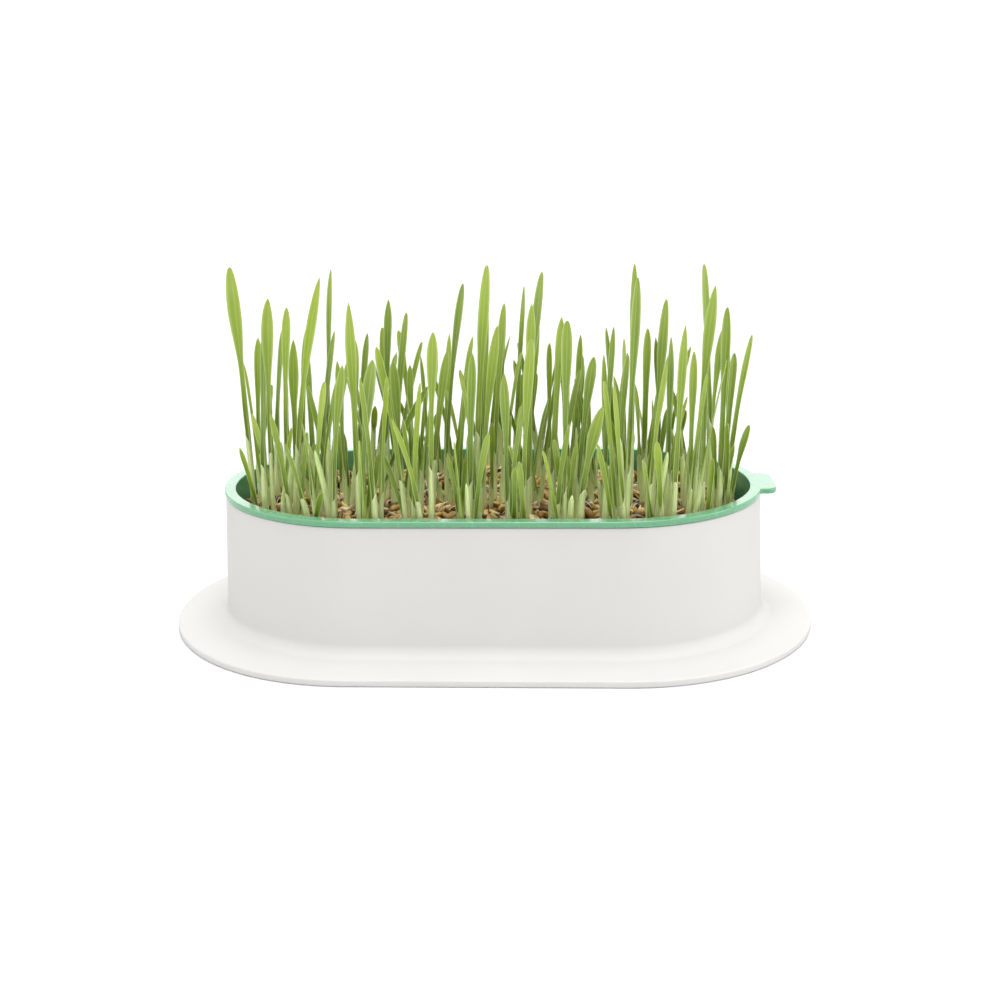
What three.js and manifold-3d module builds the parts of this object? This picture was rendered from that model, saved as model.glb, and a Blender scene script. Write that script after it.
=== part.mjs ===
// A tray of young wheatgrass: a white planter with a wide foot, a green liner that hangs in it by
// its rim, growing medium, a bed of sprouting grain, and the grass in separate rooted tufts.
// Millimetres, +Z up. The origin is the centre of the foot's underside, and the liner's lifting
// tab points along +X.
import * as THREE from 'three';
import { mergeVertices } from 'three/addons/utils/BufferGeometryUtils.js';
import Module from 'manifold-3d';

// Liner rim: an oval with two straight sides and two rounded ends.
const RIM_HALF_LENGTH = 115.7;
const RIM_HALF_WIDTH = 57.6;
const RIM_TOP = 61.5;
const RIM_THICKNESS = 2.5;
const RIM_WIDTH = 4.8;
const STRAIGHT_HALF_LENGTH = 51;

// Foot: a thin flange all round the bottom of the planter.
const FOOT_HALF_LENGTH = 139.5;
const FOOT_HALF_WIDTH = 78.8;
const FOOT_STRAIGHT_HALF_LENGTH = 56;
const FOOT_EDGE_THICKNESS = 3;
const FOOT_EDGE_ROUNDING = 0.7;
const FOOT_RISE = 1.4;

// Planter wall: it stands a little inside the rim and widens downwards.
const WALL_INSET = 0.5;
const WALL_THICKNESS = 2;
const WALL_FLARE = 2.6;
const FILLET_RADIUS = 5.5;
const FILLET_STEPS = 4;
const FLOOR_THICKNESS = 2.6;
const FLOOR_CHAMFER = 1;

// Liner below its rim.
const LINER_THICKNESS = 1.7;
const LINER_TAPER = 2.4;
const LINER_FLOOR_TOP = 9;
const RIM_ROUNDING = 0.5;

// Lifting tab at the +X end of the rim.
const TAB_REACH = 121.3;
const TAB_HALF_WIDTH = 12.2;
const TAB_THICKNESS = 2.3;
const TAB_CORNER = 4;
const TAB_CORNER_SEGMENTS = 4;

// Fill: growing medium below, and above it the bed of grain that the grass grows from.
const GAP = 0.3;
const BED_TOP = 50;
const BED_THICKNESS = 9;

// Places where the grain lies in a heap: [x, y, height, radius].
const HEAPS = [
  [-4, 40, 4.2, 17], [-82, 30, 2.6, 18], [58, 34, 2.6, 17], [94, 18, 2.2, 15], [-94, -8, 2.4, 16],
];
const HEAP_SIDES = 10;
const HEAP_RING_SHARES = [1, 0.72, 0.4];
const HEAP_SINK = 0.5;

// Grains on the bed, as long pointed lumps half sunk in it.
const GRAIN_HALF_SIZE = { x: 4.3, y: 2.1, z: 1.8 };
const GRAIN_PITCH = 9;
const GRAIN_SCATTER = 1.4;
const GRAIN_LIFT = 0.2;
const GRAIN_TILT = 0.25;
const GRAIN_HOLE_GAP = 2.4;
const HOLE_CLEAR_HEIGHT = 9;

// Tufts: several shoots on one root plug, each plug in its own plain hole in the bed. They stand on
// loops round the bed, [inset from the rim's edge, number of tufts], and on a line along its middle.
const TUFT_LOOPS = [[15.6, 25], [35.4, 18]];
const MIDDLE_REACH = 60;
const MIDDLE_TUFTS = 7;
const TUFT_JITTER = 0.4;
const PLUG_RADIUS = 8.2;
const PLUG_DEPTH = 7;
const PLUG_DOME = 1;
const PLUG_SIDES = 8;
const STEM_EDGE_GAP = 0.3;

// How many shoots a tuft has, by how far back it stands: [least y, shoots]. The front is fullest.
const SHOOTS_FROM_DEPTH = [[-Infinity, 6], [-10, 5], [10, 4]];

// Shoots: a round sheath up to its collar, a narrow neck above it, and from there one flat leaf with
// a keel along its back and a blunt tip. Ranges are [least, most], and shares are of the height.
const SHEATH_START = 45.5;
const SHEATH_WIDTH = [2, 3];
const COLLAR_SHARE = [0.24, 0.38];
const NECK_SHARE = 0.52;
const NECK_WIDTH_SHARE = 0.8;
const WIDEST_SHARE = [0.8, 0.9];
const SHOULDER_SHARE = 0.65;
const LEAF_KEEL = 0.66;
const KEEL_TO_HALF_WIDTH = 1.1;
const TIP_HALF_WIDTH = 0.45;
const STUB_STATIONS = [0, 0.5, 0.85, 1];
const CURL = [0.4, 1];
const TWIST = [-0.25, 0.25];

// Tall shoots face the front, more or less. Each attempt to stand clear may move them further.
const TALL_FACING = [-0.4, 0.4];
const TALL_BASE_SHIFT = [2, 5];
const TALL_TIP_SHIFT = [4, 18];

// Short shoots and stubs stand anywhere on a plug and keep their tips over the bed.
const STUB_SHARE = 0.2;
const STUB_HEIGHT = [18, 38];
const STUB_LEAN = 0.16;
const SHORT_HEIGHT = [28, 72];
const SHORT_LEAN = 0.2;
const SHORT_LEAF_WIDTH = [2, 3.2];
const SHORT_FACING = [-1.2, 1.2];
const OFF_CENTRE = [2.5, 5];

// Room left between shoots, and how hard one looks for a clear place.
const TUFT_CLEARANCE = 0.7;
const SHOOT_CLEARANCE = 0.2;
const RIM_CLEARANCE = 0.6;
const CLEARANCE_STEP = 4;
const ATTEMPTS = 60;
const GROWTH_SEED = 25079;

// The shoots that stand out from the rest, in rows at these depths from the front:
// [base x, tip x, tip height above the ground, widest leaf width].
const ROW_DEPTHS = [-40, -21, 0, 21, 40];
const TALL_SHOOTS = [
  [
    [-77, -82, 88, 2.4], [-74, -66, 71, 2.5], [-73, -66, 112, 2.9], [-63, -56, 122, 3.6],
    [-55, -53, 146, 4.4], [-51, -44, 124, 5.7], [-37, -43, 128, 3.5], [-34, -43, 84, 2.4],
    [-23, -20, 135, 4.4], [-8, -5, 126, 3.5], [8, 7, 117, 4], [14, 18, 131, 4.4], [31, 32, 138, 4.4],
    [40, 46, 105, 5.3], [59, 59, 155, 3.9], [62, 71, 122, 3.1], [75, 78, 136, 3.5],
  ],
  [
    [-95, -91, 133, 3.6], [-91, -88, 145, 5.2], [-86, -80, 142, 3.5], [-80, -66, 154, 3.9],
    [-58, -54, 128, 3.3], [-48, -25, 108, 3.3], [-40, -38, 120, 4.1], [-22, -16, 124, 3.6],
    [-6, 0, 157, 4.4], [-3, 4, 133, 4],
    [16, 18, 142, 4], [25, 30, 136, 3.5], [36, 43, 120, 4.1], [47, 51, 132, 2.4], [68, 72, 143, 4],
    [74, 74, 128, 3.3], [80, 83, 123, 3.3], [84, 91, 149, 4.8], [90, 88, 111, 2.9], [95, 97, 139, 4],
  ],
  [
    [-105, -109, 154, 6], [-102, -99, 124, 3.3], [-94, -88, 128, 2.6], [-89, -83, 124, 4.2],
    [-72, -66, 127, 2.6], [-59, -52, 126, 2.6], [-49, -42, 141, 3.3], [-43, -35, 135, 2.9],
    [-35, -34, 113, 2.9], [-20, -11, 147, 3.3],
    [-4, -1, 138, 2.6], [1, 6, 138, 3.6], [10, 22, 151, 4.1], [35, 38, 126, 2.6], [52, 58, 117, 3.3],
    [60, 60, 155, 3.3], [68, 66, 128, 3.3], [91, 89, 154, 3.3], [100, 102, 118, 3.3], [102, 111, 123, 2.6],
  ],
  [
    [-86, -82, 124, 2.6], [-77, -69, 151, 3.1], [-48, -48, 125, 3.3], [9, 14, 143, 2.4],
    [18, 20, 128, 3.1], [24, 25, 118, 2.6], [34, 39, 113, 3.3], [95, 99, 124, 3.3],
  ],
  [
    [-34, -31, 93, 2.4], [3, 5, 133, 2.4],
  ],
];

const END_SEGMENTS = 14;
const MERGE_DISTANCE = 1e-4;
const TAB_TRIM_RISE = 1;
const LCG_FACTOR = 16807;
const LCG_MODULUS = 2147483647;
const SHARE = [0, 1];
const EITHER_WAY = [-1, 1];
const FULL_TURN = [0, 2 * Math.PI];

const wasm = await Module();
wasm.setup();

// ---- Shapes ---------------------------------------------------------------------------------

// An oval at height z, anticlockwise from above; a positive inset moves it inwards.
function ovalRing(oval, inset, z) {
  const points = [];
  const endLength = oval.halfLength - oval.straight - inset;
  const halfWidth = oval.halfWidth - inset;
  for (const side of [1, -1]) {
    for (let i = 0; i <= END_SEGMENTS; i += 1) {
      const turn = Math.PI * (i / END_SEGMENTS - 0.5);
      const x = side * (oval.straight + endLength * Math.cos(turn));
      points.push(new THREE.Vector3(x, side * halfWidth * Math.sin(turn), z));
    }
  }
  return points;
}

function circleRing(centre, radius, sides, z) {
  const points = [];
  for (let i = 0; i < sides; i += 1) {
    const turn = (2 * Math.PI * i) / sides;
    points.push(new THREE.Vector3(centre.x + radius * Math.cos(turn), centre.y + radius * Math.sin(turn), z));
  }
  return points;
}

// A closed body through a list of rings. The first ring is capped facing down, the last facing up.
function lathedBody(rings, capRise = 0) {
  const sides = rings[0].length;
  const positions = [];
  const indices = [];
  for (const ring of rings) {
    for (const point of ring) {
      positions.push(point.x, point.y, point.z);
    }
  }
  for (let k = 0; k + 1 < rings.length; k += 1) {
    for (let j = 0; j < sides; j += 1) {
      const next = (j + 1) % sides;
      const low = k * sides;
      const high = low + sides;
      indices.push(low + j, low + next, high + next, low + j, high + next, high + j);
    }
  }
  for (const [ring, faceUp] of [[0, false], [rings.length - 1, true]]) {
    const centre = new THREE.Vector3();
    for (const point of rings[ring]) {
      centre.addScaledVector(point, 1 / sides);
    }
    const hub = positions.length / 3;
    positions.push(centre.x, centre.y, centre.z + (faceUp ? capRise : 0));
    for (let j = 0; j < sides; j += 1) {
      const a = ring * sides + j;
      const b = ring * sides + ((j + 1) % sides);
      indices.push(hub, faceUp ? a : b, faceUp ? b : a);
    }
  }
  const geometry = new THREE.BufferGeometry();
  geometry.setAttribute('position', new THREE.Float32BufferAttribute(positions, 3));
  geometry.setIndex(indices);
  return geometry;
}

function toSolid(geometry) {
  const bare = geometry.clone();
  bare.deleteAttribute('normal');
  bare.deleteAttribute('uv');
  const merged = mergeVertices(bare, MERGE_DISTANCE);
  return new wasm.Manifold(new wasm.Mesh({
    numProp: 3,
    vertProperties: new Float32Array(merged.attributes.position.array),
    triVerts: new Uint32Array(merged.index.array),
  }));
}

function toGeometry(solid) {
  const mesh = solid.getMesh();
  const geometry = new THREE.BufferGeometry();
  geometry.setAttribute('position', new THREE.BufferAttribute(mesh.vertProperties, 3));
  geometry.setIndex(new THREE.BufferAttribute(mesh.triVerts, 1));
  return geometry;
}

// ---- Planter, liner and fill ----------------------------------------------------------------

const rimOval = { halfLength: RIM_HALF_LENGTH, halfWidth: RIM_HALF_WIDTH, straight: STRAIGHT_HALF_LENGTH };
const footOval = {
  halfLength: FOOT_HALF_LENGTH,
  halfWidth: FOOT_HALF_WIDTH,
  straight: FOOT_STRAIGHT_HALF_LENGTH,
};
const WALL_TOP = RIM_TOP - RIM_THICKNESS - GAP;

// Oval part of the way from the foot's outline (0) to the wall's (1).
function footToWall(share, wallInset) {
  return {
    halfLength: THREE.MathUtils.lerp(footOval.halfLength, rimOval.halfLength - wallInset, share),
    halfWidth: THREE.MathUtils.lerp(footOval.halfWidth, rimOval.halfWidth - wallInset, share),
    straight: THREE.MathUtils.lerp(footOval.straight, rimOval.straight, share),
  };
}

function planterBody() {
  const footTop = FOOT_EDGE_THICKNESS + FOOT_RISE;
  const filletTop = footTop + FILLET_RADIUS;
  const flareAt = (z) => WALL_FLARE * (1 - (z - filletTop) / (WALL_TOP - filletTop));
  const lowWall = WALL_INSET - flareAt(filletTop);
  const rings = [
    ovalRing(footOval, FOOT_EDGE_ROUNDING, 0),
    ovalRing(footOval, 0, FOOT_EDGE_ROUNDING),
    ovalRing(footOval, 0, FOOT_EDGE_THICKNESS - FOOT_EDGE_ROUNDING),
    ovalRing(footOval, FOOT_EDGE_ROUNDING, FOOT_EDGE_THICKNESS),
  ];
  for (let i = 0; i <= FILLET_STEPS; i += 1) {
    const turn = (Math.PI / 2) * (i / FILLET_STEPS);
    const out = FILLET_RADIUS * (1 - Math.sin(turn));
    rings.push(ovalRing(footToWall(1, lowWall), -out, filletTop - FILLET_RADIUS * Math.cos(turn)));
  }
  rings.push(
    ovalRing(rimOval, WALL_INSET, WALL_TOP),
    ovalRing(rimOval, WALL_INSET + WALL_THICKNESS, WALL_TOP),
    ovalRing(rimOval, lowWall + WALL_THICKNESS, FLOOR_THICKNESS + FLOOR_CHAMFER),
    ovalRing(rimOval, lowWall + WALL_THICKNESS + FLOOR_CHAMFER, FLOOR_THICKNESS),
  );
  return lathedBody(rings);
}

// Inset of the liner's inner wall at height z: its rim's width at the top, more towards the floor.
function linerInset(z) {
  return RIM_WIDTH + (LINER_TAPER * (RIM_TOP - z)) / (RIM_TOP - LINER_FLOOR_TOP);
}

function liftingTab() {
  const start = RIM_HALF_LENGTH - RIM_WIDTH / 2;
  const corner = TAB_REACH - TAB_CORNER;
  const outline = new THREE.Shape();
  outline.moveTo(start, -TAB_HALF_WIDTH);
  outline.lineTo(corner, -TAB_HALF_WIDTH);
  outline.absarc(corner, -TAB_HALF_WIDTH + TAB_CORNER, TAB_CORNER, -Math.PI / 2, 0);
  outline.absarc(corner, TAB_HALF_WIDTH - TAB_CORNER, TAB_CORNER, 0, Math.PI / 2);
  outline.lineTo(start, TAB_HALF_WIDTH);
  const settings = { depth: TAB_THICKNESS, bevelEnabled: false, curveSegments: TAB_CORNER_SEGMENTS };
  const slab = new THREE.ExtrudeGeometry(outline, settings);
  slab.translate(0, 0, RIM_TOP - TAB_THICKNESS);
  return slab;
}

function linerTray() {
  const rimBottom = RIM_TOP - RIM_THICKNESS;
  const outerInset = (z) => linerInset(z) - LINER_THICKNESS;
  const floorBottom = LINER_FLOOR_TOP - LINER_THICKNESS;
  const rings = [
    ovalRing(rimOval, outerInset(floorBottom), floorBottom),
    ovalRing(rimOval, outerInset(rimBottom), rimBottom),
    ovalRing(rimOval, RIM_ROUNDING, rimBottom),
    ovalRing(rimOval, 0, rimBottom + RIM_ROUNDING),
    ovalRing(rimOval, 0, RIM_TOP - RIM_ROUNDING),
    ovalRing(rimOval, RIM_ROUNDING, RIM_TOP),
    ovalRing(rimOval, RIM_WIDTH - RIM_ROUNDING, RIM_TOP),
    ovalRing(rimOval, RIM_WIDTH, RIM_TOP - RIM_ROUNDING),
    ovalRing(rimOval, linerInset(LINER_FLOOR_TOP), LINER_FLOOR_TOP),
  ];
  const tray = toSolid(lathedBody(rings));
  const inside = toSolid(lathedBody([
    ovalRing(rimOval, linerInset(LINER_FLOOR_TOP), LINER_FLOOR_TOP),
    ovalRing(rimOval, RIM_WIDTH, RIM_TOP + TAB_TRIM_RISE),
  ]));
  return toGeometry(tray.add(toSolid(liftingTab()).subtract(inside)));
}

function fillRing(z) {
  return ovalRing(rimOval, linerInset(z) + GAP, z);
}

function growingMedium() {
  return lathedBody([fillRing(LINER_FLOOR_TOP + GAP), fillRing(BED_TOP - BED_THICKNESS - GAP)]);
}

// ---- Where the tufts and shoots stand ---------------------------------------------------------

// Repeatable random numbers: each call of draw gives the next one between least and most.
function seededDraws(seed) {
  let state = seed;
  return ([least, most]) => {
    state = (state * LCG_FACTOR) % LCG_MODULUS;
    return least + ((most - least) * state) / LCG_MODULUS;
  };
}

// Half the bed's length at a given depth y, less a margin all round.
function bedReach(y, margin) {
  const inset = linerInset(BED_TOP) + margin;
  const across = y / (RIM_HALF_WIDTH - inset);
  if (Math.abs(across) >= 1) {
    return 0;
  }
  const endLength = RIM_HALF_LENGTH - STRAIGHT_HALF_LENGTH - inset;
  return STRAIGHT_HALF_LENGTH + endLength * Math.sqrt(1 - across * across);
}

// Points evenly spaced round an oval that is inset from the rim's edge.
function spacedRound(inset, count) {
  const path = ovalRing(rimOval, inset, 0);
  const lengths = path.map((point, i) => point.distanceTo(path[(i + 1) % path.length]));
  const step = lengths.reduce((sum, length) => sum + length, 0) / count;
  const points = [];
  let walked = 0;
  lengths.forEach((length, i) => {
    const next = path[(i + 1) % path.length];
    while (points.length < count && points.length * step < walked + length) {
      points.push(path[i].clone().lerp(next, (points.length * step - walked) / length));
    }
    walked += length;
  });
  return points;
}

function tuftCentres(draw) {
  const places = TUFT_LOOPS.flatMap(([inset, count]) => spacedRound(inset, count));
  for (let i = 0; i < MIDDLE_TUFTS; i += 1) {
    const share = i / (MIDDLE_TUFTS - 1);
    places.push(new THREE.Vector3(THREE.MathUtils.lerp(-MIDDLE_REACH, MIDDLE_REACH, share), 0, 0));
  }
  return places.map(({ x, y }) => {
    const shiftX = TUFT_JITTER * draw(EITHER_WAY);
    return { x: x + shiftX, y: y + TUFT_JITTER * draw(EITHER_WAY) };
  });
}

// How far the grain is heaped above the bed's flat top.
function heapAt(x, y) {
  return Math.max(0, ...HEAPS.map(([heapX, heapY, height, radius]) => (
    height * (1 - ((x - heapX) ** 2 + (y - heapY) ** 2) / radius ** 2)
  )));
}

// Share s of the way up the shoot at height z.
function shareAt(shoot, z) {
  return Math.min(1, Math.max(0, (z - SHEATH_START) / (shoot.tip.z - SHEATH_START)));
}

function centreAt(shoot, s) {
  const bend = (1 - shoot.curl) * s + shoot.curl * s * s;
  return {
    x: shoot.base.x + (shoot.tip.x - shoot.base.x) * bend,
    y: shoot.base.y + (shoot.tip.y - shoot.base.y) * bend,
    z: SHEATH_START + (shoot.tip.z - SHEATH_START) * s,
  };
}

function halfWidthAt(shoot, s) {
  const neckWidth = NECK_WIDTH_SHARE * Math.min(shoot.sheath, shoot.leaf);
  const narrowing = THREE.MathUtils.smoothstep(s, shoot.collar, shoot.neck);
  const opening = THREE.MathUtils.smoothstep(s, shoot.neck, shoot.widest);
  const width = shoot.sheath + (neckWidth - shoot.sheath) * narrowing + (shoot.leaf - neckWidth) * opening;
  const past = Math.max(0, (s - shoot.widest) / (1 - shoot.widest));
  return Math.max(TIP_HALF_WIDTH, (width / 2) * Math.sqrt(1 - past * past));
}

// How far the keel stands behind the middle: a full half-width in the sheath, little in the leaf.
function keelAt(shoot, s) {
  const open = THREE.MathUtils.smoothstep(s, shoot.collar, shoot.widest);
  const keel = shoot.sheath / 2 + (LEAF_KEEL - shoot.sheath / 2) * open;
  return Math.min(keel, KEEL_TO_HALF_WIDTH * halfWidthAt(shoot, s));
}

function standsClear(shoot, standing) {
  for (const other of standing) {
    const clearance = other.tuft === shoot.tuft ? SHOOT_CLEARANCE : TUFT_CLEARANCE;
    const top = Math.min(shoot.tip.z, other.tip.z);
    for (let z = BED_TOP; z < top + CLEARANCE_STEP; z += CLEARANCE_STEP) {
      const s = shareAt(shoot, z);
      const t = shareAt(other, z);
      const a = centreAt(shoot, s);
      const b = centreAt(other, t);
      const room = halfWidthAt(shoot, s) + halfWidthAt(other, t) + clearance;
      if ((a.x - b.x) ** 2 + (a.y - b.y) ** 2 < room * room) {
        return false;
      }
    }
  }
  return true;
}

// Whether a shoot passes up through the rim's opening without touching it.
function insideRim(shoot) {
  for (let z = BED_TOP; z < RIM_TOP + CLEARANCE_STEP; z += CLEARANCE_STEP) {
    const s = shareAt(shoot, z);
    const at = centreAt(shoot, s);
    if (Math.abs(at.x) > bedReach(at.y, halfWidthAt(shoot, s) + RIM_CLEARANCE)) {
      return false;
    }
  }
  return true;
}

// Draws in a base so that the whole stem stands on its plug.
function onPlug(tuft, dx, dy) {
  const reach = PLUG_RADIUS * Math.cos(Math.PI / PLUG_SIDES) - SHEATH_WIDTH[1] / 2 - STEM_EDGE_GAP;
  const shrink = Math.min(1, reach / Math.hypot(dx, dy));
  return { x: tuft.x + dx * shrink, y: tuft.y + dy * shrink };
}

function nearestTuft(tufts, x, y) {
  const farOff = (tuft) => Math.hypot(tuft.x - x, tuft.y - y);
  return tufts.reduce((best, tuft) => (farOff(tuft) < farOff(best) ? tuft : best));
}

function shootsWanted(tuft) {
  return SHOOTS_FROM_DEPTH.filter(([leastY]) => tuft.y >= leastY).pop()[1];
}

// The shape of a shoot, before it is given a place.
function newShoot(tuft, leaf, isStub, facing, draw) {
  const sheath = draw(SHEATH_WIDTH);
  const collar = draw(COLLAR_SHARE);
  const widest = draw(WIDEST_SHARE);
  const neck = THREE.MathUtils.lerp(collar, widest, NECK_SHARE);
  return { tuft, leaf, isStub, facing, sheath, collar, neck, widest, curl: draw(CURL), twist: draw(TWIST) };
}

// Places a shoot if it stands clear there.
function settle(shoot, base, tip, standing) {
  Object.assign(shoot, { base, tip });
  const isClear = insideRim(shoot) && standsClear(shoot, standing);
  if (isClear) {
    standing.push(shoot);
  }
  return isClear;
}

// The tall shoots. Each keeps its place and lean along X, and is set back or forward and bent
// along Y, further at each attempt, until it stands clear of the others.
function growTallShoots(tufts, draw) {
  const standing = [];
  TALL_SHOOTS.forEach((shoots, row) => {
    for (const [baseX, tipX, tipZ, leaf] of shoots) {
      const tuft = nearestTuft(tufts, baseX, ROW_DEPTHS[row]);
      const shoot = newShoot(tuft, leaf, false, draw(TALL_FACING), draw);
      for (let attempt = 1, isPlaced = false; attempt <= ATTEMPTS && !isPlaced; attempt += 1) {
        const baseShift = THREE.MathUtils.lerp(...TALL_BASE_SHIFT, attempt / ATTEMPTS);
        const tipShift = THREE.MathUtils.lerp(...TALL_TIP_SHIFT, attempt / ATTEMPTS);
        const shiftY = ROW_DEPTHS[row] - tuft.y + baseShift * draw(EITHER_WAY);
        const base = onPlug(tuft, baseX - tuft.x, shiftY);
        const tip = { x: tipX, y: base.y + tipShift * draw(EITHER_WAY), z: tipZ };
        isPlaced = settle(shoot, base, tip, standing);
      }
    }
  });
  return standing;
}

// Short shoots and stubs between the tall ones, left out where there is no room.
function growShortShoots(tufts, standing, draw) {
  for (const tuft of tufts) {
    let missing = shootsWanted(tuft) - standing.filter((shoot) => shoot.tuft === tuft).length;
    for (let attempt = 1; attempt <= ATTEMPTS && missing > 0; attempt += 1) {
      const isStub = draw(SHARE) < STUB_SHARE;
      const height = draw(isStub ? STUB_HEIGHT : SHORT_HEIGHT);
      const lean = height * (isStub ? STUB_LEAN : SHORT_LEAN);
      const turn = draw(FULL_TURN);
      const out = draw(OFF_CENTRE);
      const base = onPlug(tuft, out * Math.cos(turn), out * Math.sin(turn));
      const tip = {
        x: base.x + lean * draw(EITHER_WAY),
        y: base.y + lean * draw(EITHER_WAY),
        z: BED_TOP + height,
      };
      const shoot = newShoot(tuft, draw(SHORT_LEAF_WIDTH), isStub, draw(SHORT_FACING), draw);
      const isOverBed = Math.abs(tip.x) < bedReach(tip.y, 0);
      if (isOverBed && settle(shoot, base, tip, standing)) {
        missing -= 1;
      }
    }
  }
  return standing;
}

// ---- Tufts and bed --------------------------------------------------------------------------

function shootGeometry(shoot) {
  const shoulder = THREE.MathUtils.lerp(shoot.widest, 1, SHOULDER_SHARE);
  const stations = shoot.isStub
    ? STUB_STATIONS
    : [0, shoot.collar, shoot.neck, shoot.widest, shoulder, 1];
  const rings = stations.map((s) => {
    const centre = centreAt(shoot, s);
    const turn = shoot.facing + shoot.twist * s;
    const half = halfWidthAt(shoot, s);
    const keel = keelAt(shoot, s);
    const section = [[-half, -keel / 2], [half, -keel / 2], [0, keel]];
    return section.map(([across, back]) => new THREE.Vector3(
      centre.x + across * Math.cos(turn) - back * Math.sin(turn),
      centre.y + across * Math.sin(turn) + back * Math.cos(turn),
      centre.z,
    ));
  });
  return lathedBody(rings);
}

function tuftGeometry(tuft, shoots) {
  const plug = lathedBody([
    circleRing(tuft, PLUG_RADIUS, PLUG_SIDES, BED_TOP - PLUG_DEPTH),
    circleRing(tuft, PLUG_RADIUS, PLUG_SIDES, BED_TOP + heapAt(tuft.x, tuft.y)),
  ], PLUG_DOME);
  let solid = toSolid(plug);
  for (const shoot of shoots) {
    solid = solid.add(toSolid(shootGeometry(shoot)));
  }
  return toGeometry(solid);
}

function grainGeometry(x, y, draw) {
  const grain = new THREE.OctahedronGeometry(1);
  grain.scale(GRAIN_HALF_SIZE.x, GRAIN_HALF_SIZE.y, GRAIN_HALF_SIZE.z);
  grain.rotateY(GRAIN_TILT * draw(EITHER_WAY));
  grain.rotateZ(draw(FULL_TURN));
  grain.translate(x, y, BED_TOP + heapAt(x, y) + GRAIN_LIFT);
  return grain;
}

// A low mound whose foot is sunk in the bed.
function heapGeometry([x, y, height, radius]) {
  const foot = circleRing({ x, y }, radius, HEAP_SIDES, BED_TOP - HEAP_SINK);
  const rings = HEAP_RING_SHARES.map((share) => (
    circleRing({ x, y }, radius * share, HEAP_SIDES, BED_TOP + height * (1 - share * share))
  ));
  return lathedBody([foot, ...rings], height * HEAP_RING_SHARES.at(-1) ** 2);
}

// The bed: a slab with heaps, covered with grains, with a plain hole for each plug.
function seedBed(tufts, draw) {
  const low = BED_TOP - BED_THICKNESS;
  const room = toSolid(lathedBody([fillRing(low), fillRing(RIM_TOP)]));
  let bed = toSolid(lathedBody([fillRing(low), fillRing(BED_TOP)]));
  for (const heap of HEAPS) {
    bed = bed.add(toSolid(heapGeometry(heap)).intersect(room));
  }
  const lengthwise = Math.floor(RIM_HALF_LENGTH / GRAIN_PITCH);
  const crosswise = Math.floor(RIM_HALF_WIDTH / GRAIN_PITCH);
  for (let i = -lengthwise; i <= lengthwise; i += 1) {
    for (let j = -crosswise; j <= crosswise; j += 1) {
      const x = (i + (j % 2) / 2) * GRAIN_PITCH + GRAIN_SCATTER * draw(EITHER_WAY);
      const y = j * GRAIN_PITCH + GRAIN_SCATTER * draw(EITHER_WAY);
      const holeReach = PLUG_RADIUS + GRAIN_HOLE_GAP;
      const onHole = tufts.some((tuft) => Math.hypot(tuft.x - x, tuft.y - y) < holeReach);
      if (!onHole && Math.abs(x) < bedReach(y, GRAIN_HALF_SIZE.x + GAP)) {
        bed = bed.add(toSolid(grainGeometry(x, y, draw)));
      }
    }
  }
  for (const tuft of tufts) {
    bed = bed.subtract(toSolid(lathedBody([
      circleRing(tuft, PLUG_RADIUS + GAP, PLUG_SIDES, BED_TOP - PLUG_DEPTH - GAP),
      circleRing(tuft, PLUG_RADIUS + GAP, PLUG_SIDES, BED_TOP + HOLE_CLEAR_HEIGHT),
    ])));
  }
  return toGeometry(bed);
}

// ---- Assembly -------------------------------------------------------------------------------

const WHITE_PLASTIC = new THREE.MeshStandardMaterial({ color: 0xf1f1ee, roughness: 0.45, metalness: 0 });
const GREEN_PLASTIC = new THREE.MeshStandardMaterial({ color: 0x7fcfa6, roughness: 0.25, metalness: 0 });
const DARK_MEDIUM = new THREE.MeshStandardMaterial({ color: 0x4a3626, roughness: 1, metalness: 0 });
const GRAIN = new THREE.MeshStandardMaterial({ color: 0xb98a55, roughness: 0.8, metalness: 0 });
const GRASS = new THREE.MeshStandardMaterial({ color: 0x86ac3e, roughness: 0.5, metalness: 0 });

const tray = new THREE.Group();

function addPiece(name, geometry, material) {
  const mesh = new THREE.Mesh(geometry, material);
  mesh.name = name;
  tray.add(mesh);
}

const draw = seededDraws(GROWTH_SEED);
const tufts = tuftCentres(draw);
const shoots = growShortShoots(tufts, growTallShoots(tufts, draw), draw);

addPiece('planter_body', planterBody(), WHITE_PLASTIC);
addPiece('liner_tray', linerTray(), GREEN_PLASTIC);
addPiece('growing_medium', growingMedium(), DARK_MEDIUM);
addPiece('seed_bed', seedBed(tufts, draw), GRAIN);
tufts.forEach((tuft, index) => {
  const ownShoots = shoots.filter((shoot) => shoot.tuft === tuft);
  addPiece(`tuft_${String(index + 1).padStart(2, '0')}`, tuftGeometry(tuft, ownShoots), GRASS);
});

export default tray;
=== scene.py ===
"""Looks of the wheatgrass tray: a satin white planter, a glossy green liner, a bed of sprouted wheat,
and the grass as thin rolled leaves that come out of pale sheaths.

Lengths below are in millimetres and become metres when a mesh is made. The shoots stand where the
part's source puts them: that layout is worked out again here, from the same numbers and the same
repeatable draws."""

import math
import random
from dataclasses import dataclass

import bpy
import numpy as np
from mathutils import Matrix, Vector

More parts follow.
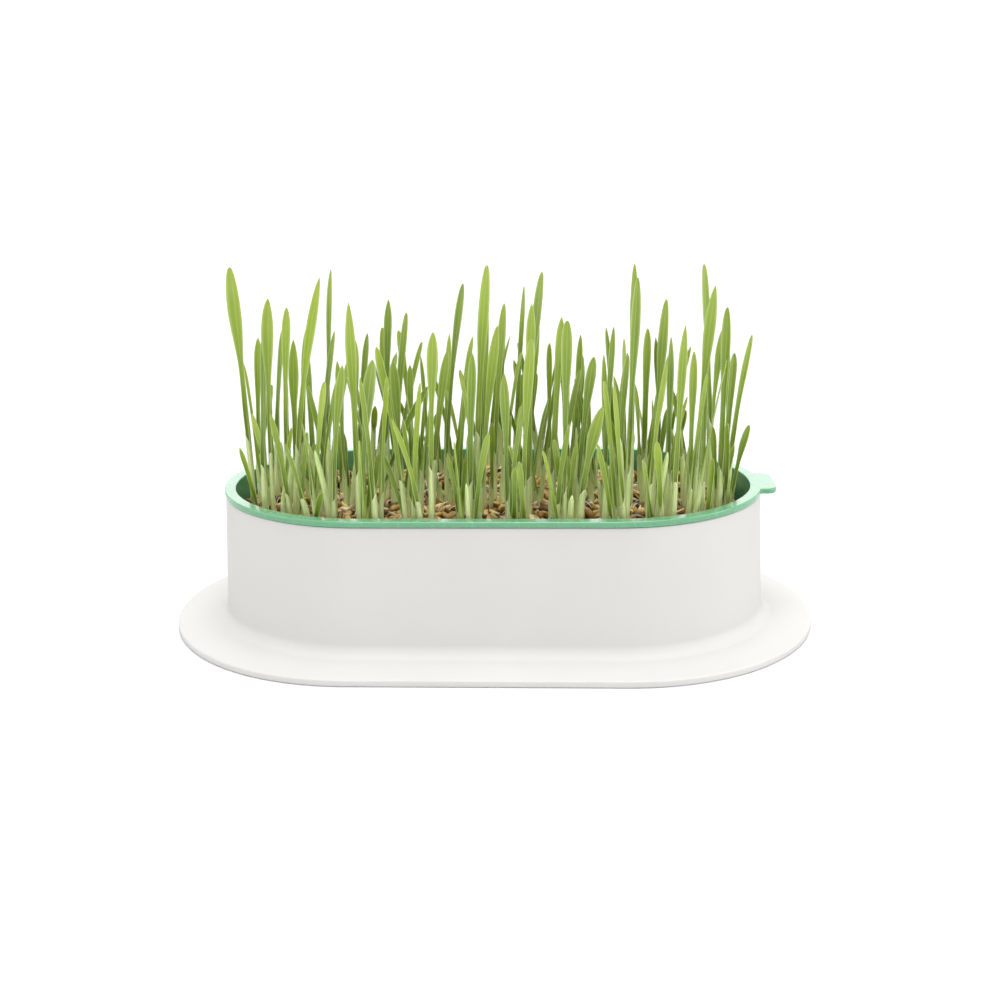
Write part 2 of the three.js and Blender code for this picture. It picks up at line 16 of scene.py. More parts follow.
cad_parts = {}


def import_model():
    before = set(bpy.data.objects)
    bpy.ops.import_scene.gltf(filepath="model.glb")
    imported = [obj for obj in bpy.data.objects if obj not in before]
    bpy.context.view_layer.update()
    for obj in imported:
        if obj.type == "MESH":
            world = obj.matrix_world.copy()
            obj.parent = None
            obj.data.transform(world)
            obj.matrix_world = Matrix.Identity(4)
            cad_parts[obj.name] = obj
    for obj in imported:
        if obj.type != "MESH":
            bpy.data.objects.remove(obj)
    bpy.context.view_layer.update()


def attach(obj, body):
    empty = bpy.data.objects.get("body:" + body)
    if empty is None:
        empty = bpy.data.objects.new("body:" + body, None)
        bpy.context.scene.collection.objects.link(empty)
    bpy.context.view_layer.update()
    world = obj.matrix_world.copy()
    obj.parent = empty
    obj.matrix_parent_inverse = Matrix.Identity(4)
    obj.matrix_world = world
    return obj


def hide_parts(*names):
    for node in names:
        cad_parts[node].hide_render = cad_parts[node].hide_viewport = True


MM = 0.001

# ---- Numbers shared with the part's source ----

RIM_HALF_LENGTH = 115.7
RIM_HALF_WIDTH = 57.6
RIM_TOP = 61.5
RIM_THICKNESS = 2.5
RIM_WIDTH = 4.8
STRAIGHT_HALF_LENGTH = 51

FOOT_HALF_LENGTH = 139.5
FOOT_HALF_WIDTH = 78.8
FOOT_STRAIGHT_HALF_LENGTH = 56
FOOT_EDGE_THICKNESS = 3
FOOT_EDGE_ROUNDING = 0.7
FOOT_RISE = 1.4

GAP = 0.3
WALL_TOP = RIM_TOP - RIM_THICKNESS - GAP
WALL_INSET = 0.5
WALL_THICKNESS = 2
WALL_FLARE = 2.6
FILLET_RADIUS = 5.5
FLOOR_THICKNESS = 2.6
FLOOR_CHAMFER = 1

LINER_THICKNESS = 1.7
LINER_TAPER = 2.4
LINER_FLOOR_TOP = 9
RIM_ROUNDING = 0.5
TAB_REACH = 121.3
TAB_HALF_WIDTH = 12.2
TAB_THICKNESS = 2.3
TAB_CORNER = 4

BED_TOP = 50
BED_THICKNESS = 9

# Places where the grain lies in a heap: [x, y, height, radius].
HEAPS = [
    [-4, 40, 4.2, 17], [-82, 30, 2.6, 18], [58, 34, 2.6, 17], [94, 18, 2.2, 15], [-94, -8, 2.4, 16],
]

TUFT_LOOPS = [[15.6, 25], [35.4, 18]]
MIDDLE_REACH = 60
MIDDLE_TUFTS = 7
TUFT_JITTER = 0.4
PLUG_RADIUS = 8.2
PLUG_DEPTH = 7
PLUG_SIDES = 8
STEM_EDGE_GAP = 0.3
SHOOTS_FROM_DEPTH = [[-math.inf, 6], [-10, 5], [10, 4]]

SHEATH_START = 45.5
SHEATH_WIDTH = [2, 3]
COLLAR_SHARE = [0.24, 0.38]
NECK_SHARE = 0.52
NECK_WIDTH_SHARE = 0.8
WIDEST_SHARE = [0.8, 0.9]
TIP_HALF_WIDTH = 0.45
CURL = [0.4, 1]
TWIST = [-0.25, 0.25]
TALL_FACING = [-0.4, 0.4]
TALL_BASE_SHIFT = [2, 5]
TALL_TIP_SHIFT = [4, 18]
STUB_SHARE = 0.2
STUB_HEIGHT = [18, 38]
STUB_LEAN = 0.16
SHORT_HEIGHT = [28, 72]
SHORT_LEAN = 0.2
SHORT_LEAF_WIDTH = [2, 3.2]
SHORT_FACING = [-1.2, 1.2]
OFF_CENTRE = [2.5, 5]
TUFT_CLEARANCE = 0.7
SHOOT_CLEARANCE = 0.2
RIM_CLEARANCE = 0.6
CLEARANCE_STEP = 4
CLEARANCE_LEVELS = 29
ATTEMPTS = 60
GROWTH_SEED = 25079

# The shoots that stand out from the rest, in rows at these depths from the front:
# [base x, tip x, tip height above the ground, widest leaf width].
ROW_DEPTHS = [-40, -21, 0, 21, 40]
TALL_SHOOTS = [
    [
        [-77, -82, 88, 2.4], [-74, -66, 71, 2.5], [-73, -66, 112, 2.9], [-63, -56, 122, 3.6],
        [-55, -53, 146, 4.4], [-51, -44, 124, 5.7], [-37, -43, 128, 3.5], [-34, -43, 84, 2.4],
        [-23, -20, 135, 4.4], [-8, -5, 126, 3.5], [8, 7, 117, 4], [14, 18, 131, 4.4],
        [31, 32, 138, 4.4], [40, 46, 105, 5.3], [59, 59, 155, 3.9], [62, 71, 122, 3.1],
        [75, 78, 136, 3.5],
    ],
    [
        [-95, -91, 133, 3.6], [-91, -88, 145, 5.2], [-86, -80, 142, 3.5], [-80, -66, 154, 3.9],
        [-58, -54, 128, 3.3], [-48, -25, 108, 3.3], [-40, -38, 120, 4.1], [-22, -16, 124, 3.6],
        [-6, 0, 157, 4.4], [-3, 4, 133, 4], [16, 18, 142, 4], [25, 30, 136, 3.5],
        [36, 43, 120, 4.1], [47, 51, 132, 2.4], [68, 72, 143, 4], [74, 74, 128, 3.3],
        [80, 83, 123, 3.3], [84, 91, 149, 4.8], [90, 88, 111, 2.9], [95, 97, 139, 4],
    ],
    [
        [-105, -109, 154, 6], [-102, -99, 124, 3.3], [-94, -88, 128, 2.6], [-89, -83, 124, 4.2],
        [-72, -66, 127, 2.6], [-59, -52, 126, 2.6], [-49, -42, 141, 3.3], [-43, -35, 135, 2.9],
        [-35, -34, 113, 2.9], [-20, -11, 147, 3.3], [-4, -1, 138, 2.6], [1, 6, 138, 3.6],
        [10, 22, 151, 4.1], [35, 38, 126, 2.6], [52, 58, 117, 3.3], [60, 60, 155, 3.3],
        [68, 66, 128, 3.3], [91, 89, 154, 3.3], [100, 102, 118, 3.3], [102, 111, 123, 2.6],
    ],
    [
        [-86, -82, 124, 2.6], [-77, -69, 151, 3.1], [-48, -48, 125, 3.3], [9, 14, 143, 2.4],
        [18, 20, 128, 3.1], [24, 25, 118, 2.6], [34, 39, 113, 3.3], [95, 99, 124, 3.3],
    ],
    [
        [-34, -31, 93, 2.4], [3, 5, 133, 2.4],
    ],
]

RIM_OVAL = (RIM_HALF_LENGTH, RIM_HALF_WIDTH, STRAIGHT_HALF_LENGTH)
FOOT_OVAL = (FOOT_HALF_LENGTH, FOOT_HALF_WIDTH, FOOT_STRAIGHT_HALF_LENGTH)
LEVELS = BED_TOP + CLEARANCE_STEP * np.arange(CLEARANCE_LEVELS)
END_SEGMENTS = 14
LCG_FACTOR = 16807
LCG_MODULUS = 2147483647
SHARE = [0, 1]
EITHER_WAY = [-1, 1]
FULL_TURN = [0, 2 * math.pi]

# ---- Numbers of the looks alone ----

ARC_STEPS = 56
SIDE_STEPS = 14
ROUNDING_STEPS = 4
FILLET_STEPS = 18
FOOT_ROWS = 5
WALL_ROWS = 10
LAST_WALL_ROW = 0.99
LIP_ROUNDING = WALL_THICKNESS / 4
UNDERSIDE_INSET = 6 * FOOT_EDGE_ROUNDING
FLOOR_INSET = 3 * FILLET_RADIUS
SHARP_ANGLE = 50

# The tab's root: where it leaves the rim's edge, and how far it reaches into the rim.
TAB_ROOT = [113.9, 2.5]
TAB_ROOT_FILLET = 1.6
TAB_ROOT_STEPS = 6
TAB_CORNER_STEPS = 8

# Leaves: a thin strip, rolled up in its sheath, that opens on the way up. Angles in degrees.
LEAF_ACROSS = [-1, -0.93, -0.75, -0.5, -0.25, -0.07, 0.07, 0.25, 0.5, 0.75, 0.93, 1]
LEAF_ROWS = 34
LEAF_ROW_CROWDING = 1.6
LEAF_THICKNESS = 0.3
MARGIN_THICKNESS = 0.16
THICK_FROM_HALF_WIDTH = 0.7
MIDRIB = 0.12
MIDRIB_SPREAD = 0.12
MIDRIB_FROM_HALF_WIDTH = 0.9
ROLLED_ANGLE = 300
OPEN_ANGLE = [30, 100]
OPENING_SHARE = [0.3, 0.8]
LEAF_FOLD = [0.04, 0.22]
LEAF_START_BELOW = 0.1
LEAF_LOWEST_START = 0.02
LEAF_IN_SHEATH = 0.24
TIP_POINTEDNESS = [0.36, 0.8]
LEAF_TIP = 0.06
EXTRA_TWIST = [-0.3, 0.3]

# Sheaths: a tube that ends in a slanting point, with the leaf coming out of it.
SHEATH_SIDES = 16
SHEATH_ROWS = [0, 0.06, 0.14, 0.3, 0.5, 0.66, 0.78, 0.86, 0.92, 0.96, 0.985, 1]
SHEATH_INNER_ROWS = [1, 0.98, 0.95]
SHEATH_WALL = 0.14
SNUG_FROM = 0.7
HIGHEST_OPENING = 0.97
POINT_RISE = [3, 8]
POINT_RISE_SHARE = 0.3
POINT_DROP = 0.4
POINT_SHARPNESS = 1.5
POINT_FLARE = 0.12
POINT_FLARE_FROM = 0.9
BASE_NARROWING = 0.1
BASE_SHARE = 0.2
PEEK_SHARE = 0.15
PEEK_COLLAR = [0.6, 0.8]

# Closed sheaths: they taper a little and end in a blunt, slightly bent point.
SPIKE_ROWS = 18
SPIKE_ROW_CROWDING = 1.8
SPIKE_TAPER = 0.22
SPIKE_TIP_START = 0.8
SPIKE_POINTEDNESS = 0.6
SPIKE_NOD = 0.7
SPIKE_NOD_FROM = 0.5
SPIKE_TONE = [0.5, 1]

# Loose grain: how high it lies over the bed's flat top, with ripples of [height, length, length].
GRAIN_HEIGHT = 0.4
LONG_RIPPLE = [0.35, 7.3, 6.1]
SHORT_RIPPLE = [0.25, 3.7, 4.9]

# Kernels: a grid over the bed, of this many to each side of the middle.
KERNEL_LINES = 13
KERNELS_IN_LINE = 28
KERNEL_PITCH = 4.1
LINE_PITCH_SHARE = 0.95
KERNEL_SCATTER = 1.5
KERNEL_SINK = 0.6
KERNEL_LENGTH = [5.8, 8.6]
KERNEL_WIDTH = [2.6, 3.7]
KERNEL_DEPTH = 0.86
KERNEL_BOW = 0.18
KERNEL_SIDES = 10
KERNEL_ROWS = 8
KERNEL_ENDS = [0.03, 0.97]
KERNEL_LOPSIDEDNESS = 0.9
KERNEL_BLUNTNESS = 0.55
KERNEL_LIFT = [-0.6, 2.2]
KERNEL_TILT = [-0.85, 0.85]
KERNEL_WALL_GAP = 3.2
CREASE_DEPTH = 0.3
CREASE_WIDTH = 0.45

# Litter on the kernels: husks, and fine white roots that wander and dive.
LITTER_REACH = 48
LITTER_HEIGHT = 1.6
LITTER_WALL_GAP = KERNEL_WALL_GAP + 1
HUSK_COUNT = 420
HUSK_LENGTH = [4, 7.5]
HUSK_WIDTH = [1.4, 2.8]
HUSK_THICKNESS = 0.16
HUSK_ROWS = 7
HUSK_COLUMNS = 5
HUSK_ENDS = [0.02, 0.98]
HUSK_POINTEDNESS = 0.7
HUSK_ARCH = 0.6
HUSK_BOW = 0.25
HUSK_TILT = [-0.9, 0.9]
HUSK_ROLL = [-1.2, 1.2]
ROOTLET_COUNT = 420
ROOTLET_LENGTH = [4, 11]
ROOTLET_RADIUS = [0.13, 0.26]
ROOTLET_BEND = [-1.6, 1.6]
ROOTLET_WIGGLE = 0.4
ROOTLET_WAVES = [4, 9]
ROOTLET_ARCH = [0.4, 1.8]
ROOTLET_DIVE = 1.2
ROOTLET_TAPER = 0.5
ROOTLET_SIDES = 6
ROOTLET_ROWS = 9

# Root balls, as rows of (height over the bed, share of the radius), and the soil between them.
BALL_ROWS = [(-PLUG_DEPTH, 0.8), (-6, 0.97), (-3, 1), (-1.2, 0.97), (-0.6, 0.7), (-0.3, 0.35)]
BALL_SIDES = 16
BALL_LUMPS = 0.25
BALL_GAP = 0.4
SOIL_RINGS = 26
SOIL_EDGE_DEPTHS = [BED_THICKNESS, 2]
SOIL_SINK = 1.2
SOIL_HEAP_SHARE = 0.8
SOIL_ROUGHNESS = 0.7
SOIL_WAVES = [1.9, 1.3, 2.1, 1.1]
GRAIN_SEED = 11
LEAF_SEED = 5

# Colours. A list is the stops of a ramp: place on it, colour. A glow is how many millimetres the
# red, the green and the blue light go inside. A mask runs from all to none.
ALL = (1, 1, 1)
NONE = (0, 0, 0)
WHITE = (0.556, 0.55, 0.533)
WHITE_SHADE = (0.543, 0.536, 0.518)
MINT = (0.122, 0.33, 0.182)
MINT_SHADE = (0.114, 0.312, 0.17)
PLASTIC_GLOW = (2.5, 4, 3)
LEAF_BRIGHT = [
    (0, (0.43, 0.5, 0.13)), (0.2, (0.27, 0.37, 0.025)), (0.65, (0.3, 0.41, 0.015)),
    (1, (0.4, 0.485, 0.05)),
]
LEAF_DEEP = [
    (0, (0.31, 0.39, 0.09)), (0.25, (0.14, 0.225, 0.01)), (0.7, (0.16, 0.25, 0.008)),
    (1, (0.26, 0.35, 0.035)),
]
LEAF_SHADE = (0.62, 0.74, 0.42)
LEAF_GLOW = (0.8, 0.9, 0.2)
MIDRIB_COLOUR = (0.6, 0.7, 0.28)
# Paler leaf edges: partly the thin margin's own lighter colour, partly a painted edge highlight.
MARGIN_TINT_AND_EDGE_HIGHLIGHT = (0.5, 0.62, 0.3)
SHEATH_COLOURS = [
    (0, (0.9, 0.9, 0.64)), (0.25, (0.96, 0.98, 0.66)), (0.7, (0.8, 0.86, 0.46)),
    (0.93, (0.7, 0.79, 0.39)), (0.985, (0.78, 0.84, 0.52)),
]
SHEATH_SHADE = (0.83, 0.89, 0.76)
SHEATH_STREAK = (0.76, 0.82, 0.62)
SHEATH_BAND = (0.68, 0.76, 0.6)
SHEATH_GLOW = (0.8, 0.9, 0.4)
KERNEL_COLOURS = [
    (0, (0.07, 0.034, 0.009)), (0.25, (0.22, 0.115, 0.024)), (0.55, (0.46, 0.295, 0.08)),
    (0.8, (0.66, 0.46, 0.13)), (1, (0.82, 0.65, 0.27)),
]
KERNEL_SHADE = (0.55, 0.42, 0.3)
# Painted shade for the crease under each kernel; the same dark colour also darkens the blunt end.
KERNEL_CREASE_SHADE_AND_END_DARK = (0.1, 0.045, 0.02)
HUSK_COLOURS = [(0, (0.36, 0.22, 0.1)), (0.5, (0.62, 0.46, 0.25)), (1, (0.82, 0.72, 0.5))]
ROOT_COLOURS = [(0, (0.66, 0.54, 0.38)), (0.4, (0.82, 0.76, 0.62)), (1, (0.92, 0.9, 0.84))]
ROOT_SHADE = (0.8, 0.7, 0.55)
SOIL_COLOURS = [(0.3, (0.014, 0.007, 0.004)), (0.55, (0.05, 0.025, 0.012)), (0.75, (0.12, 0.065, 0.03))]
FLOOR_COLOURS = [(0.3, (0.66, 0.66, 0.655)), (0.7, (0.67, 0.67, 0.67))]

# The finishes of a tuft and of the litter, in the order of their material slots.
LEAF, SHEATH, KERNEL, SOIL = range(4)
HUSK, ROOTLET = range(2)

# Camera, with its angles in radians, and floor.
CAMERA_PLACE = [25.87, -568.63, 229.64]
CAMERA_PAN = 0.0395
CAMERA_PITCH = 0.3014
CAMERA_ROLL = -0.0119
LENS = 49.21
SENSOR = 36
FLOOR_HALF_SIZE = 4000
FLOOR_Z = -0.05

# Light. The sky is a grey ramp over the upward part of the direction: place on it, level.
SKY_LEVELS = [(0.18, 1.0), (0.42, 0.68), (1.0, 0.56)]
SKY_STRENGTH = 1.06
SUN_STRENGTH = 2.75
SUN_ANGLE = 40
SUN_FROM = (0.03, -0.08, 1.0)

# Soft rectangular lights, in metres and watts: name, place, width, height, power.
LIGHT_TARGET = (0, 0, 0.06)
AREA_LIGHTS = [
    ["front", (-0.1, -2.0, 0.35), 2.4, 0.6, 6.5],
    ["right_side", (1.5, -0.5, 0.22), 0.9, 0.4, 8],
    ["left_side", (-1.5, -0.5, 0.22), 0.9, 0.4, 4],
    ["behind", (0.1, 1.7, 0.7), 2.2, 0.6, 6],
]


# ---- Where the shoots stand ----

@dataclass(eq=False)
class Tuft:
    """One root plug in its hole."""
    x: float
    y: float


@dataclass(eq=False)
class Shoot:
    """One shoot: its shape, and once it has a place, its base and tip."""
    tuft: Tuft
    leaf: float
    is_stub: bool
    facing: float
    sheath: float
    collar: float
    neck: float
    widest: float
    curl: float
    twist: float
    base: tuple = None
    tip: tuple = None
    trace: np.ndarray = None


def seeded_draws(seed):
    """Repeatable random numbers: each call of draw gives the next one within a span."""
    state = seed

    def draw(span):
        nonlocal state
        state = (state * LCG_FACTOR) % LCG_MODULUS
        return span[0] + ((span[1] - span[0]) * state) / LCG_MODULUS

    return draw


def lerp(a, b, share):
    return a + (b - a) * share


def smoothstep(value, low, high):
    share = np.clip((value - low) / (high - low), 0, 1)
    return share * share * (3 - 2 * share)


def liner_inset(z):
    """Inset of the liner's inner wall at height z."""
    return RIM_WIDTH + (LINER_TAPER * (RIM_TOP - z)) / (RIM_TOP - LINER_FLOOR_TOP)


def bed_reach(y, margin):
    """Half the bed's length at depth y, less a margin all round."""
    inset = liner_inset(BED_TOP) + margin
    across = y / (RIM_HALF_WIDTH - inset)
    if abs(across) >= 1:
        return 0
    end_length = RIM_HALF_LENGTH - STRAIGHT_HALF_LENGTH - inset
    return STRAIGHT_HALF_LENGTH + end_length * math.sqrt(1 - across * across)


def spaced_round(inset, count):
    """Points evenly spaced round an oval that is inset from the rim's edge."""
    path = oval_ring(RIM_OVAL, inset, 0, END_SEGMENTS, 1)[:, :2]
    ahead = np.roll(path, -1, axis=0)
    lengths = np.linalg.norm(ahead - path, axis=1)
    reached = np.concatenate([[0], np.cumsum(lengths)])
    walk = np.arange(count) * reached[-1] / count
    corner = np.searchsorted(reached, walk, side="right") - 1
    share = ((walk - reached[corner]) / lengths[corner])[:, None]
    return (path[corner] + share * (ahead[corner] - path[corner])).tolist()


def tuft_centres(draw):
    places = [place for inset, count in TUFT_LOOPS for place in spaced_round(inset, count)]
    for i in range(MIDDLE_TUFTS):
        places.append((lerp(-MIDDLE_REACH, MIDDLE_REACH, i / (MIDDLE_TUFTS - 1)), 0))
    tufts = []
    for x, y in places:
        shift_x = TUFT_JITTER * draw(EITHER_WAY)
        tufts.append(Tuft(x + shift_x, y + TUFT_JITTER * draw(EITHER_WAY)))
    return tufts


def heap_at(x, y):
    """How far the grain is heaped above the bed's flat top."""
    rises = [
        height * (1 - ((x - heap_x) ** 2 + (y - heap_y) ** 2) / radius ** 2)
        for heap_x, heap_y, height, radius in HEAPS
    ]
    return max(0, *rises)


def centre_at(shoot, s):
    """Centre line at share s of the shoot's height; s may be an array."""
    bend = (1 - shoot.curl) * s + shoot.curl * s * s
    x = shoot.base[0] + (shoot.tip[0] - shoot.base[0]) * bend
    y = shoot.base[1] + (shoot.tip[1] - shoot.base[1]) * bend
    return x, y, SHEATH_START + (shoot.tip[2] - SHEATH_START) * s


def width_at(shoot, s):
    """Width without the tip: the sheath, a narrower neck above its collar, then the leaf."""
    neck_width = NECK_WIDTH_SHARE * min(shoot.sheath, shoot.leaf)
    narrowing = smoothstep(s, shoot.collar, shoot.neck)
    opening = smoothstep(s, shoot.neck, shoot.widest)
    return shoot.sheath + (neck_width - shoot.sheath) * narrowing + (shoot.leaf - neck_width) * opening


def share_past(s, start):
    """How far s is on its way from start to 1."""
    return np.clip((s - start) / (1 - start), 0, 1)


def half_width_at(shoot, s):
    past = share_past(s, shoot.widest)
    return np.maximum(TIP_HALF_WIDTH, (width_at(shoot, s) / 2) * np.sqrt(1 - past * past))


def trace_of(shoot):
    """Place and half-width of a shoot at each level where clearance is tested."""
    s = np.clip((LEVELS - SHEATH_START) / (shoot.tip[2] - SHEATH_START), 0, 1)
    x, y, _ = centre_at(shoot, s)
    return np.stack([x, y, half_width_at(shoot, s)])


def stands_clear(shoot, standing):
    if not standing:
        return True
    others = np.stack([other.trace for other in standing])
    same_tuft = np.array([other.tuft is shoot.tuft for other in standing])
    tops = np.minimum(shoot.tip[2], [other.tip[2] for other in standing])
    clearance = np.where(same_tuft, SHOOT_CLEARANCE, TUFT_CLEARANCE)
    room = shoot.trace[2] + others[:, 2] + clearance[:, None]
    apart = (shoot.trace[0] - others[:, 0]) ** 2 + (shoot.trace[1] - others[:, 1]) ** 2
    is_tested = LEVELS < tops[:, None] + CLEARANCE_STEP
    return not np.any(is_tested & (apart < room * room))


def inside_rim(shoot):
    for level, x, y, half in zip(LEVELS, *shoot.trace):
        if level < RIM_TOP + CLEARANCE_STEP and abs(x) > bed_reach(y, half + RIM_CLEARANCE):
            return False
    return True


def on_plug(tuft, dx, dy):
    """Draws in a base so that the whole stem stands on its plug."""
    reach = PLUG_RADIUS * math.cos(math.pi / PLUG_SIDES) - SHEATH_WIDTH[1] / 2 - STEM_EDGE_GAP
    shrink = min(1, reach / math.hypot(dx, dy))
    return tuft.x + dx * shrink, tuft.y + dy * shrink


def nearest_tuft(tufts, x, y):
    return min(tufts, key=lambda tuft: math.hypot(tuft.x - x, tuft.y - y))


def shoots_wanted(tuft):
    return [count for least_y, count in SHOOTS_FROM_DEPTH if tuft.y >= least_y][-1]


def new_shoot(tuft, leaf, is_stub, facing, draw):
    sheath = draw(SHEATH_WIDTH)
    collar = draw(COLLAR_SHARE)
    widest = draw(WIDEST_SHARE)
    neck = lerp(collar, widest, NECK_SHARE)
    curl = draw(CURL)
    return Shoot(tuft, leaf, is_stub, facing, sheath, collar, neck, widest, curl, draw(TWIST))


def settle(shoot, base, tip, standing):
    """Places a shoot if it stands clear there."""
    shoot.base = base
    shoot.tip = tip
    shoot.trace = trace_of(shoot)
    is_clear = inside_rim(shoot) and stands_clear(shoot, standing)
    if is_clear:
        standing.append(shoot)
    return is_clear


def grow_tall_shoots(tufts, draw):
    standing = []
    for row, shoots in enumerate(TALL_SHOOTS):
        for base_x, tip_x, tip_z, leaf in shoots:
            tuft = nearest_tuft(tufts, base_x, ROW_DEPTHS[row])
            shoot = new_shoot(tuft, leaf, False, draw(TALL_FACING), draw)
            for attempt in range(1, ATTEMPTS + 1):
                base_shift = lerp(*TALL_BASE_SHIFT, attempt / ATTEMPTS)
                tip_shift = lerp(*TALL_TIP_SHIFT, attempt / ATTEMPTS)
                shift_y = ROW_DEPTHS[row] - tuft.y + base_shift * draw(EITHER_WAY)
                base = on_plug(tuft, base_x - tuft.x, shift_y)
                tip = (tip_x, base[1] + tip_shift * draw(EITHER_WAY), tip_z)
                if settle(shoot, base, tip, standing):
                    break
    return standing


def grow_short_shoots(tufts, standing, draw):
    for tuft in tufts:
        missing = shoots_wanted(tuft) - sum(shoot.tuft is tuft for shoot in standing)
        for _ in range(ATTEMPTS):
            if missing <= 0:
                break
            is_stub = draw(SHARE) < STUB_SHARE
            height = draw(STUB_HEIGHT if is_stub else SHORT_HEIGHT)
            lean = height * (STUB_LEAN if is_stub else SHORT_LEAN)
            turn = draw(FULL_TURN)
            out = draw(OFF_CENTRE)
            base = on_plug(tuft, out * math.cos(turn), out * math.sin(turn))
            tip_x = base[0] + lean * draw(EITHER_WAY)
            tip_y = base[1] + lean * draw(EITHER_WAY)
            leaf = draw(SHORT_LEAF_WIDTH)
            shoot = new_shoot(tuft, leaf, is_stub, draw(SHORT_FACING), draw)
            is_over_bed = abs(tip_x) < bed_reach(tip_y, 0)
            if is_over_bed and settle(shoot, base, (tip_x, tip_y, BED_TOP + height), standing):
                missing -= 1
    return standing


# ---- Meshes ----

def add_object(name, data):
    obj = bpy.data.objects.new(name, data)
    bpy.context.scene.collection.objects.link(obj)
    return obj


class Heap:
    """The surfaces of one piece, collected shape by shape before its mesh is made."""

    def __init__(self):
        self.points = []
        self.faces = []
        self.finishes = []
        self.values = {"tone": [], "along": [], "across": []}
        self.count = 0

    def add_grid(self, grid, finish, tone=0.5, along=0.0, across=0.0, is_closed=True):
        """Adds rows of points. Closed rows are rings, and the first and the last are filled."""
        rows, columns, _ = grid.shape
        first = self.count
        self.points.append(grid.reshape(-1, 3))
        self.count += rows * columns
        for name, value in (("tone", tone), ("along", along), ("across", across)):
            self.values[name].append(np.broadcast_to(value, (rows, columns)).reshape(-1))
        last = columns if is_closed else columns - 1
        for k in range(rows - 1):
            for j in range(last):
                low = first + k * columns
                right = (j + 1) % columns
                self.faces.append((low + j, low + right, low + columns + right, low + columns + j))
        if is_closed:
            top = first + (rows - 1) * columns
            self.faces.append(tuple(range(first + columns - 1, first - 1, -1)))
            self.faces.append(tuple(range(top, top + columns)))
        self.finishes += [finish] * (len(self.faces) - len(self.finishes))

    def to_object(self, name, finishes):
        mesh = bpy.data.meshes.new(name)
        points = np.concatenate(self.points) * MM
        mesh.from_pydata(points.tolist(), [], self.faces)
        for finish in finishes:
            mesh.materials.append(finish)
        mesh.polygons.foreach_set("material_index", self.finishes)
        mesh.shade_smooth()
        for key, parts in self.values.items():
            attribute = mesh.attributes.new(key, "FLOAT", "POINT")
            attribute.data.foreach_set("value", np.concatenate(parts).astype(np.float32))
        mesh.set_sharp_from_angle(angle=math.radians(SHARP_ANGLE))
        return add_object(name, mesh)


def heap_of(rows):
    """A heap that holds one closed grid."""
    heap = Heap()
    heap.add_grid(np.array(rows), 0)
    return heap


def add_piece(heap, name, slot, finishes, *nodes):
    """Makes the piece, hangs it under the root body, and hides those CAD nodes."""
    piece = heap.to_object(name, finishes)
    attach(piece, "root")
    if nodes:
        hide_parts(*nodes)
    return piece


# ---- Planter and liner ----

def oval_ring(oval, inset, z, arc_steps=ARC_STEPS, side_steps=SIDE_STEPS):
    """An oval ring, anticlockwise from above: two rounded ends joined by straight sides."""
    half_length, half_width, straight = oval
    turn = np.pi * (np.arange(arc_steps + 1) / arc_steps - 0.5)
    end_x = straight + (half_length - straight - inset) * np.cos(turn)
    end_y = (half_width - inset) * np.sin(turn)
    side_x = np.linspace(straight, -straight, side_steps + 1)[1:-1]
    side_y = np.full(side_steps - 1, half_width - inset)
    x = np.concatenate([end_x, side_x, -end_x, -side_x])
    y = np.concatenate([end_y, side_y, -end_y, -side_y])
    return np.stack([x, y, np.full(len(x), z)], axis=1)


def quarter(steps=ROUNDING_STEPS):
    """Pairs (1 - cos, 1 - sin) round a quarter turn, for rounded edges."""
    turns = [math.pi / 2 * i / steps for i in range(steps + 1)]
    return [(1 - math.cos(turn), 1 - math.sin(turn)) for turn in turns]


def step_to(rows, ring, count):
    """Adds a ring to the rows, with count more evenly spaced on the way to it."""
    start = rows[-1]
    rows += [lerp(start, ring, i / (count + 1)) for i in range(1, count + 1)] + [ring]


def bottom_edge(oval, z, radius):
    """A rounded edge, from the underside at height z to the side."""
    return [oval_ring(oval, radius * out, z + radius * up) for up, out in quarter()]


def outer_edge(oval, inset, z, radius):
    """A rounded edge, from the side to the top at height z."""
    return [oval_ring(oval, inset + radius * over, z - radius * down) for over, down in quarter()]


def inner_edge(oval, inset, z, radius):
    """A rounded edge, from the top at height z to the inside."""
    return [oval_ring(oval, inset - radius * back, z - radius * down) for down, back in quarter()]


def planter_shell():
    """The planter: underside, foot, fillet, wall, lip, inside, floor."""
    foot_top = FOOT_EDGE_THICKNESS + FOOT_RISE
    low_wall = WALL_INSET - WALL_FLARE
    low_inside = low_wall + WALL_THICKNESS
    rim_low = (RIM_HALF_LENGTH - low_wall, RIM_HALF_WIDTH - low_wall, STRAIGHT_HALF_LENGTH)
    fillet = [
        oval_ring(rim_low, -FILLET_RADIUS * out, foot_top + FILLET_RADIUS * up)
        for up, out in quarter(FILLET_STEPS)
    ]
    rows = [oval_ring(FOOT_OVAL, UNDERSIDE_INSET, 0)]
    rows += bottom_edge(FOOT_OVAL, 0, FOOT_EDGE_ROUNDING)
    rows += outer_edge(FOOT_OVAL, 0, FOOT_EDGE_THICKNESS, FOOT_EDGE_ROUNDING)
    step_to(rows, fillet[0], FOOT_ROWS)
    rows += fillet[1:]
    lip = outer_edge(RIM_OVAL, WALL_INSET, WALL_TOP, LIP_ROUNDING)
    step_to(rows, lerp(rows[-1], lip[0], LAST_WALL_ROW), WALL_ROWS)
    rows += lip
    rows += inner_edge(RIM_OVAL, WALL_INSET + WALL_THICKNESS, WALL_TOP, LIP_ROUNDING)
    step_to(rows, oval_ring(RIM_OVAL, low_inside, FLOOR_THICKNESS + FLOOR_CHAMFER), WALL_ROWS)
    rows.append(oval_ring(RIM_OVAL, low_inside + FLOOR_CHAMFER, FLOOR_THICKNESS))
    rows.append(oval_ring(RIM_OVAL, FLOOR_INSET, FLOOR_THICKNESS))
    return heap_of(rows)


